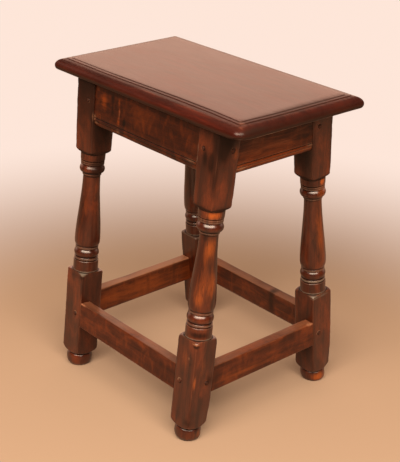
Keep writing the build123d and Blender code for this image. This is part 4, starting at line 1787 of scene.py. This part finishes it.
def make_aprons() -> list[Apron]:
    """Gives the front and the right apron their own wear, painted highlights on the moulding and painted
    shadow under the top.

    Returns:
        The four aprons.
    """
    face = Apron.recess - STOOL.leg_half
    front = (
        *marks_of(Layer.RUB, (-64.5, face, 500, 1.8, 5, 11, 0.45), (-67, face, 470, 7, 6, 6, 0.5),
                  (-130, face, 478, 3, 5, 5, 0.7), (-127, face, 469, 7, 6, 3, 0.5),
                  # Painted highlight at the right end of the moulding, with the dusting mark below.
                  (118, face, 476, 14, 6, 2.2, 0.4)),
        *marks_of(Layer.BARE, (-107, face, 512, 10, 5, 17, 0.6), (-67, face, 519, 3, 5, 8, 0.65),
                  (-65, face, 503, 3, 5, 8, 0.6), (-66, face, 486, 4.5, 5, 9, 0.6)),
        # Painted highlight at the right end of the moulding.
        *marks_of(Layer.DUST, (118, face, 473, 14, 6, 4.5, 0.32)),
        *marks_of(Layer.SOIL, (-84, face, 522, 6, 5, 14, 0.6), (-82, face, 497, 6, 5, 11, 0.6),
                  (-51, face, 489, 5, 5, 8, 0.85), (126, face, 515, 10, 5, 22, 0.45),
                  # Painted shadow under the top.
                  (0, face, 540.5, 300, 9, 6, 0.95)))
    right = (
        *marks_of(Layer.RUB, (-10, face, 498, 200, 5, 26, 0.2), (-70, face, 466, 12, 5, 4, 0.5),
                  # These two paint highlights along the bead and the ovolo.
                  (0, face, 474.4, 120, 3, 0.9, 0.65), (0, face, 467.8, 120, 3, 0.9, 0.65)),
        *marks_of(Layer.BARE, (-10, face, 485, 120, 5, 32, 0.46), (0, face, 468, 140, 6, 7, 0.4)),
        # Painted highlights on the moulding's right end.
        *marks_of(Layer.DUST, (78, face, 473, 10, 4, 3, 0.55), (78, face, 467, 10, 4, 2.4, 0.4)),
        # Painted shadow under the top.
        *marks_of(Layer.SOIL, (0, face, 538, 300, 9, 11, 1.1)))
    return [Apron(Side.FRONT, 1.3, front), Apron(Side.BACK, 2.6), Apron(Side.RIGHT, 3.9, right),
            Apron(Side.LEFT, 5.2)]


def make_stretchers() -> list[Stretcher]:
    """Gives each stretcher its own wear, and an upper face lightened by dusting and a painted sheen.

    Returns:
        The four stretchers.
    """
    wear = {
        Side.FRONT: (0.62, marks_of(Layer.RUB, (-126, -21, 129.5, 7, 2, 1.6, 0.9))),
        Side.BACK: (0.75, marks_of(Layer.BARE, (0, 4, 105, 300, 40, 30, 0.24))
                    + marks_of(Layer.SOIL, (-45.7, -8, 113.5, 11, 60, 40, 0.66))),
        Side.RIGHT: (0.60, marks_of(Layer.RUB, (109, -19, 130, 6, 4, 3, 1.1))
                     + marks_of(Layer.BARE, (-40, -22, 96, 110, 3, 9, 0.42))
                     + marks_of(Layer.SOIL, (10, -22, 120, 90, 3, 10, 0.42),
                                # The last mark is painted shadow with dirt at the joint with the near leg.
                                (-112, -22, 108, 12, 3, 22, 0.42))),
        Side.LEFT: (1.3, marks_of(Layer.BARE, (0, 4, 105, 200, 40, 30, 0.5))
                    + marks_of(Layer.SOIL, (-78, -2.7, 110, 6, 8, 30, 0.5), (-14, -2.7, 104, 7, 8, 30, 0.4))),
    }
    # Each upper face gets dusting and a painted sheen, by the amount given with its side.
    return [Stretcher(side, 1.1 * number, [*marks_of(Layer.DUST, (0, -8, 131.5, 400, 30, 2.2, top_dust_and_sheen)), *marks])
            for number, (side, (top_dust_and_sheen, marks)) in enumerate(wear.items(), 1)]


def make_top_marks() -> list[Mark]:
    """Wear and painted light of the top.

    Painted shade along the underside, down the right-hand nose and where the field's sheen falls away at its
    edges; a painted highlight along the lower edge of the right-hand nose; and red wood on the front nose,
    partly worn by hands and partly a painted highlight where it is lit.

    Returns:
        Its marks.
    """
    return [
        # The last rubbing mark, with the dusting mark below, paints the highlight along the lower edge of the
        # right-hand nose.
        *marks_of(Layer.RUB, (80, -123.5, 558, 260, 4, 4, 0.34), (222.5, 0, 557.8, 4.5, 300, 3, 0.27),
                  (213, -112, 559, 7, 6, 5, 0.6), (229.8, -55, 538.8, 2.5, 60, 1.4, 1.3)),
        # Red wood on the front nose: partly wear from hands, partly a painted highlight where the nose is
        # lit.
        *marks_of(Layer.BARE, (130, -126, 557, 160, 6, 4, 0.32), (170, -136, 550, 55, 7, 4.5, 0.3),
                  (60, -136, 549, 60, 7, 4.5, 0.22)),
        # Painted highlight along the lower edge of the right-hand nose.
        *marks_of(Layer.DUST, (229.8, -65, 538.8, 2.5, 50, 1.2, 0.7)),
        # All painted shade: along the underside of the nose on every side and low on the front nose, down the
        # right-hand nose, and on the field where its sheen falls away near the right and front edges.
        *marks_of(Layer.SOIL, (0, -138, 541, 400, 8, 4.2, 0.75), (233, -20, 552, 5, 260, 5.5, 0.1),
                  (0, -136, 549, 400, 8, 9, 0.14), (231, -105, 552, 7, 28, 6, 0.3),
                  (209.5, 20, 560, 14, 170, 6, 0.5), (70, -107.5, 560, 130, 9, 6, 0.2),
                  (0, -112, 560, 400, 9, 6, 0.13), (0, 138, 540, 400, 8, 2.6, 0.8),
                  (234, 0, 541, 8, 300, 3, 0.7), (-234, 0, 540, 8, 300, 2.6, 0.8),
                  (236, 0, 549, 9, 300, 9, 0.5))]


def main() -> None:
    """Builds the stool and the studio."""
    logging.basicConfig(level=logging.INFO, format="%(name)s: %(message)s")
    legs = make_legs()
    SeatTop(make_top_marks()).build(TOP_WOOD.material())
    for parts, finish in ((legs, LEG_WOOD), (make_aprons(), APRON_WOOD), (make_stretchers(), STRETCHER_WOOD)):
        wood = finish.material()
        for part in parts:
            part.build(wood)
    Pegs().build(legs, PEG_WOOD.material())
    TopScrews().dress(SteelFinish().material())
    Studio().build()


if __name__ == "__main__":
    main()
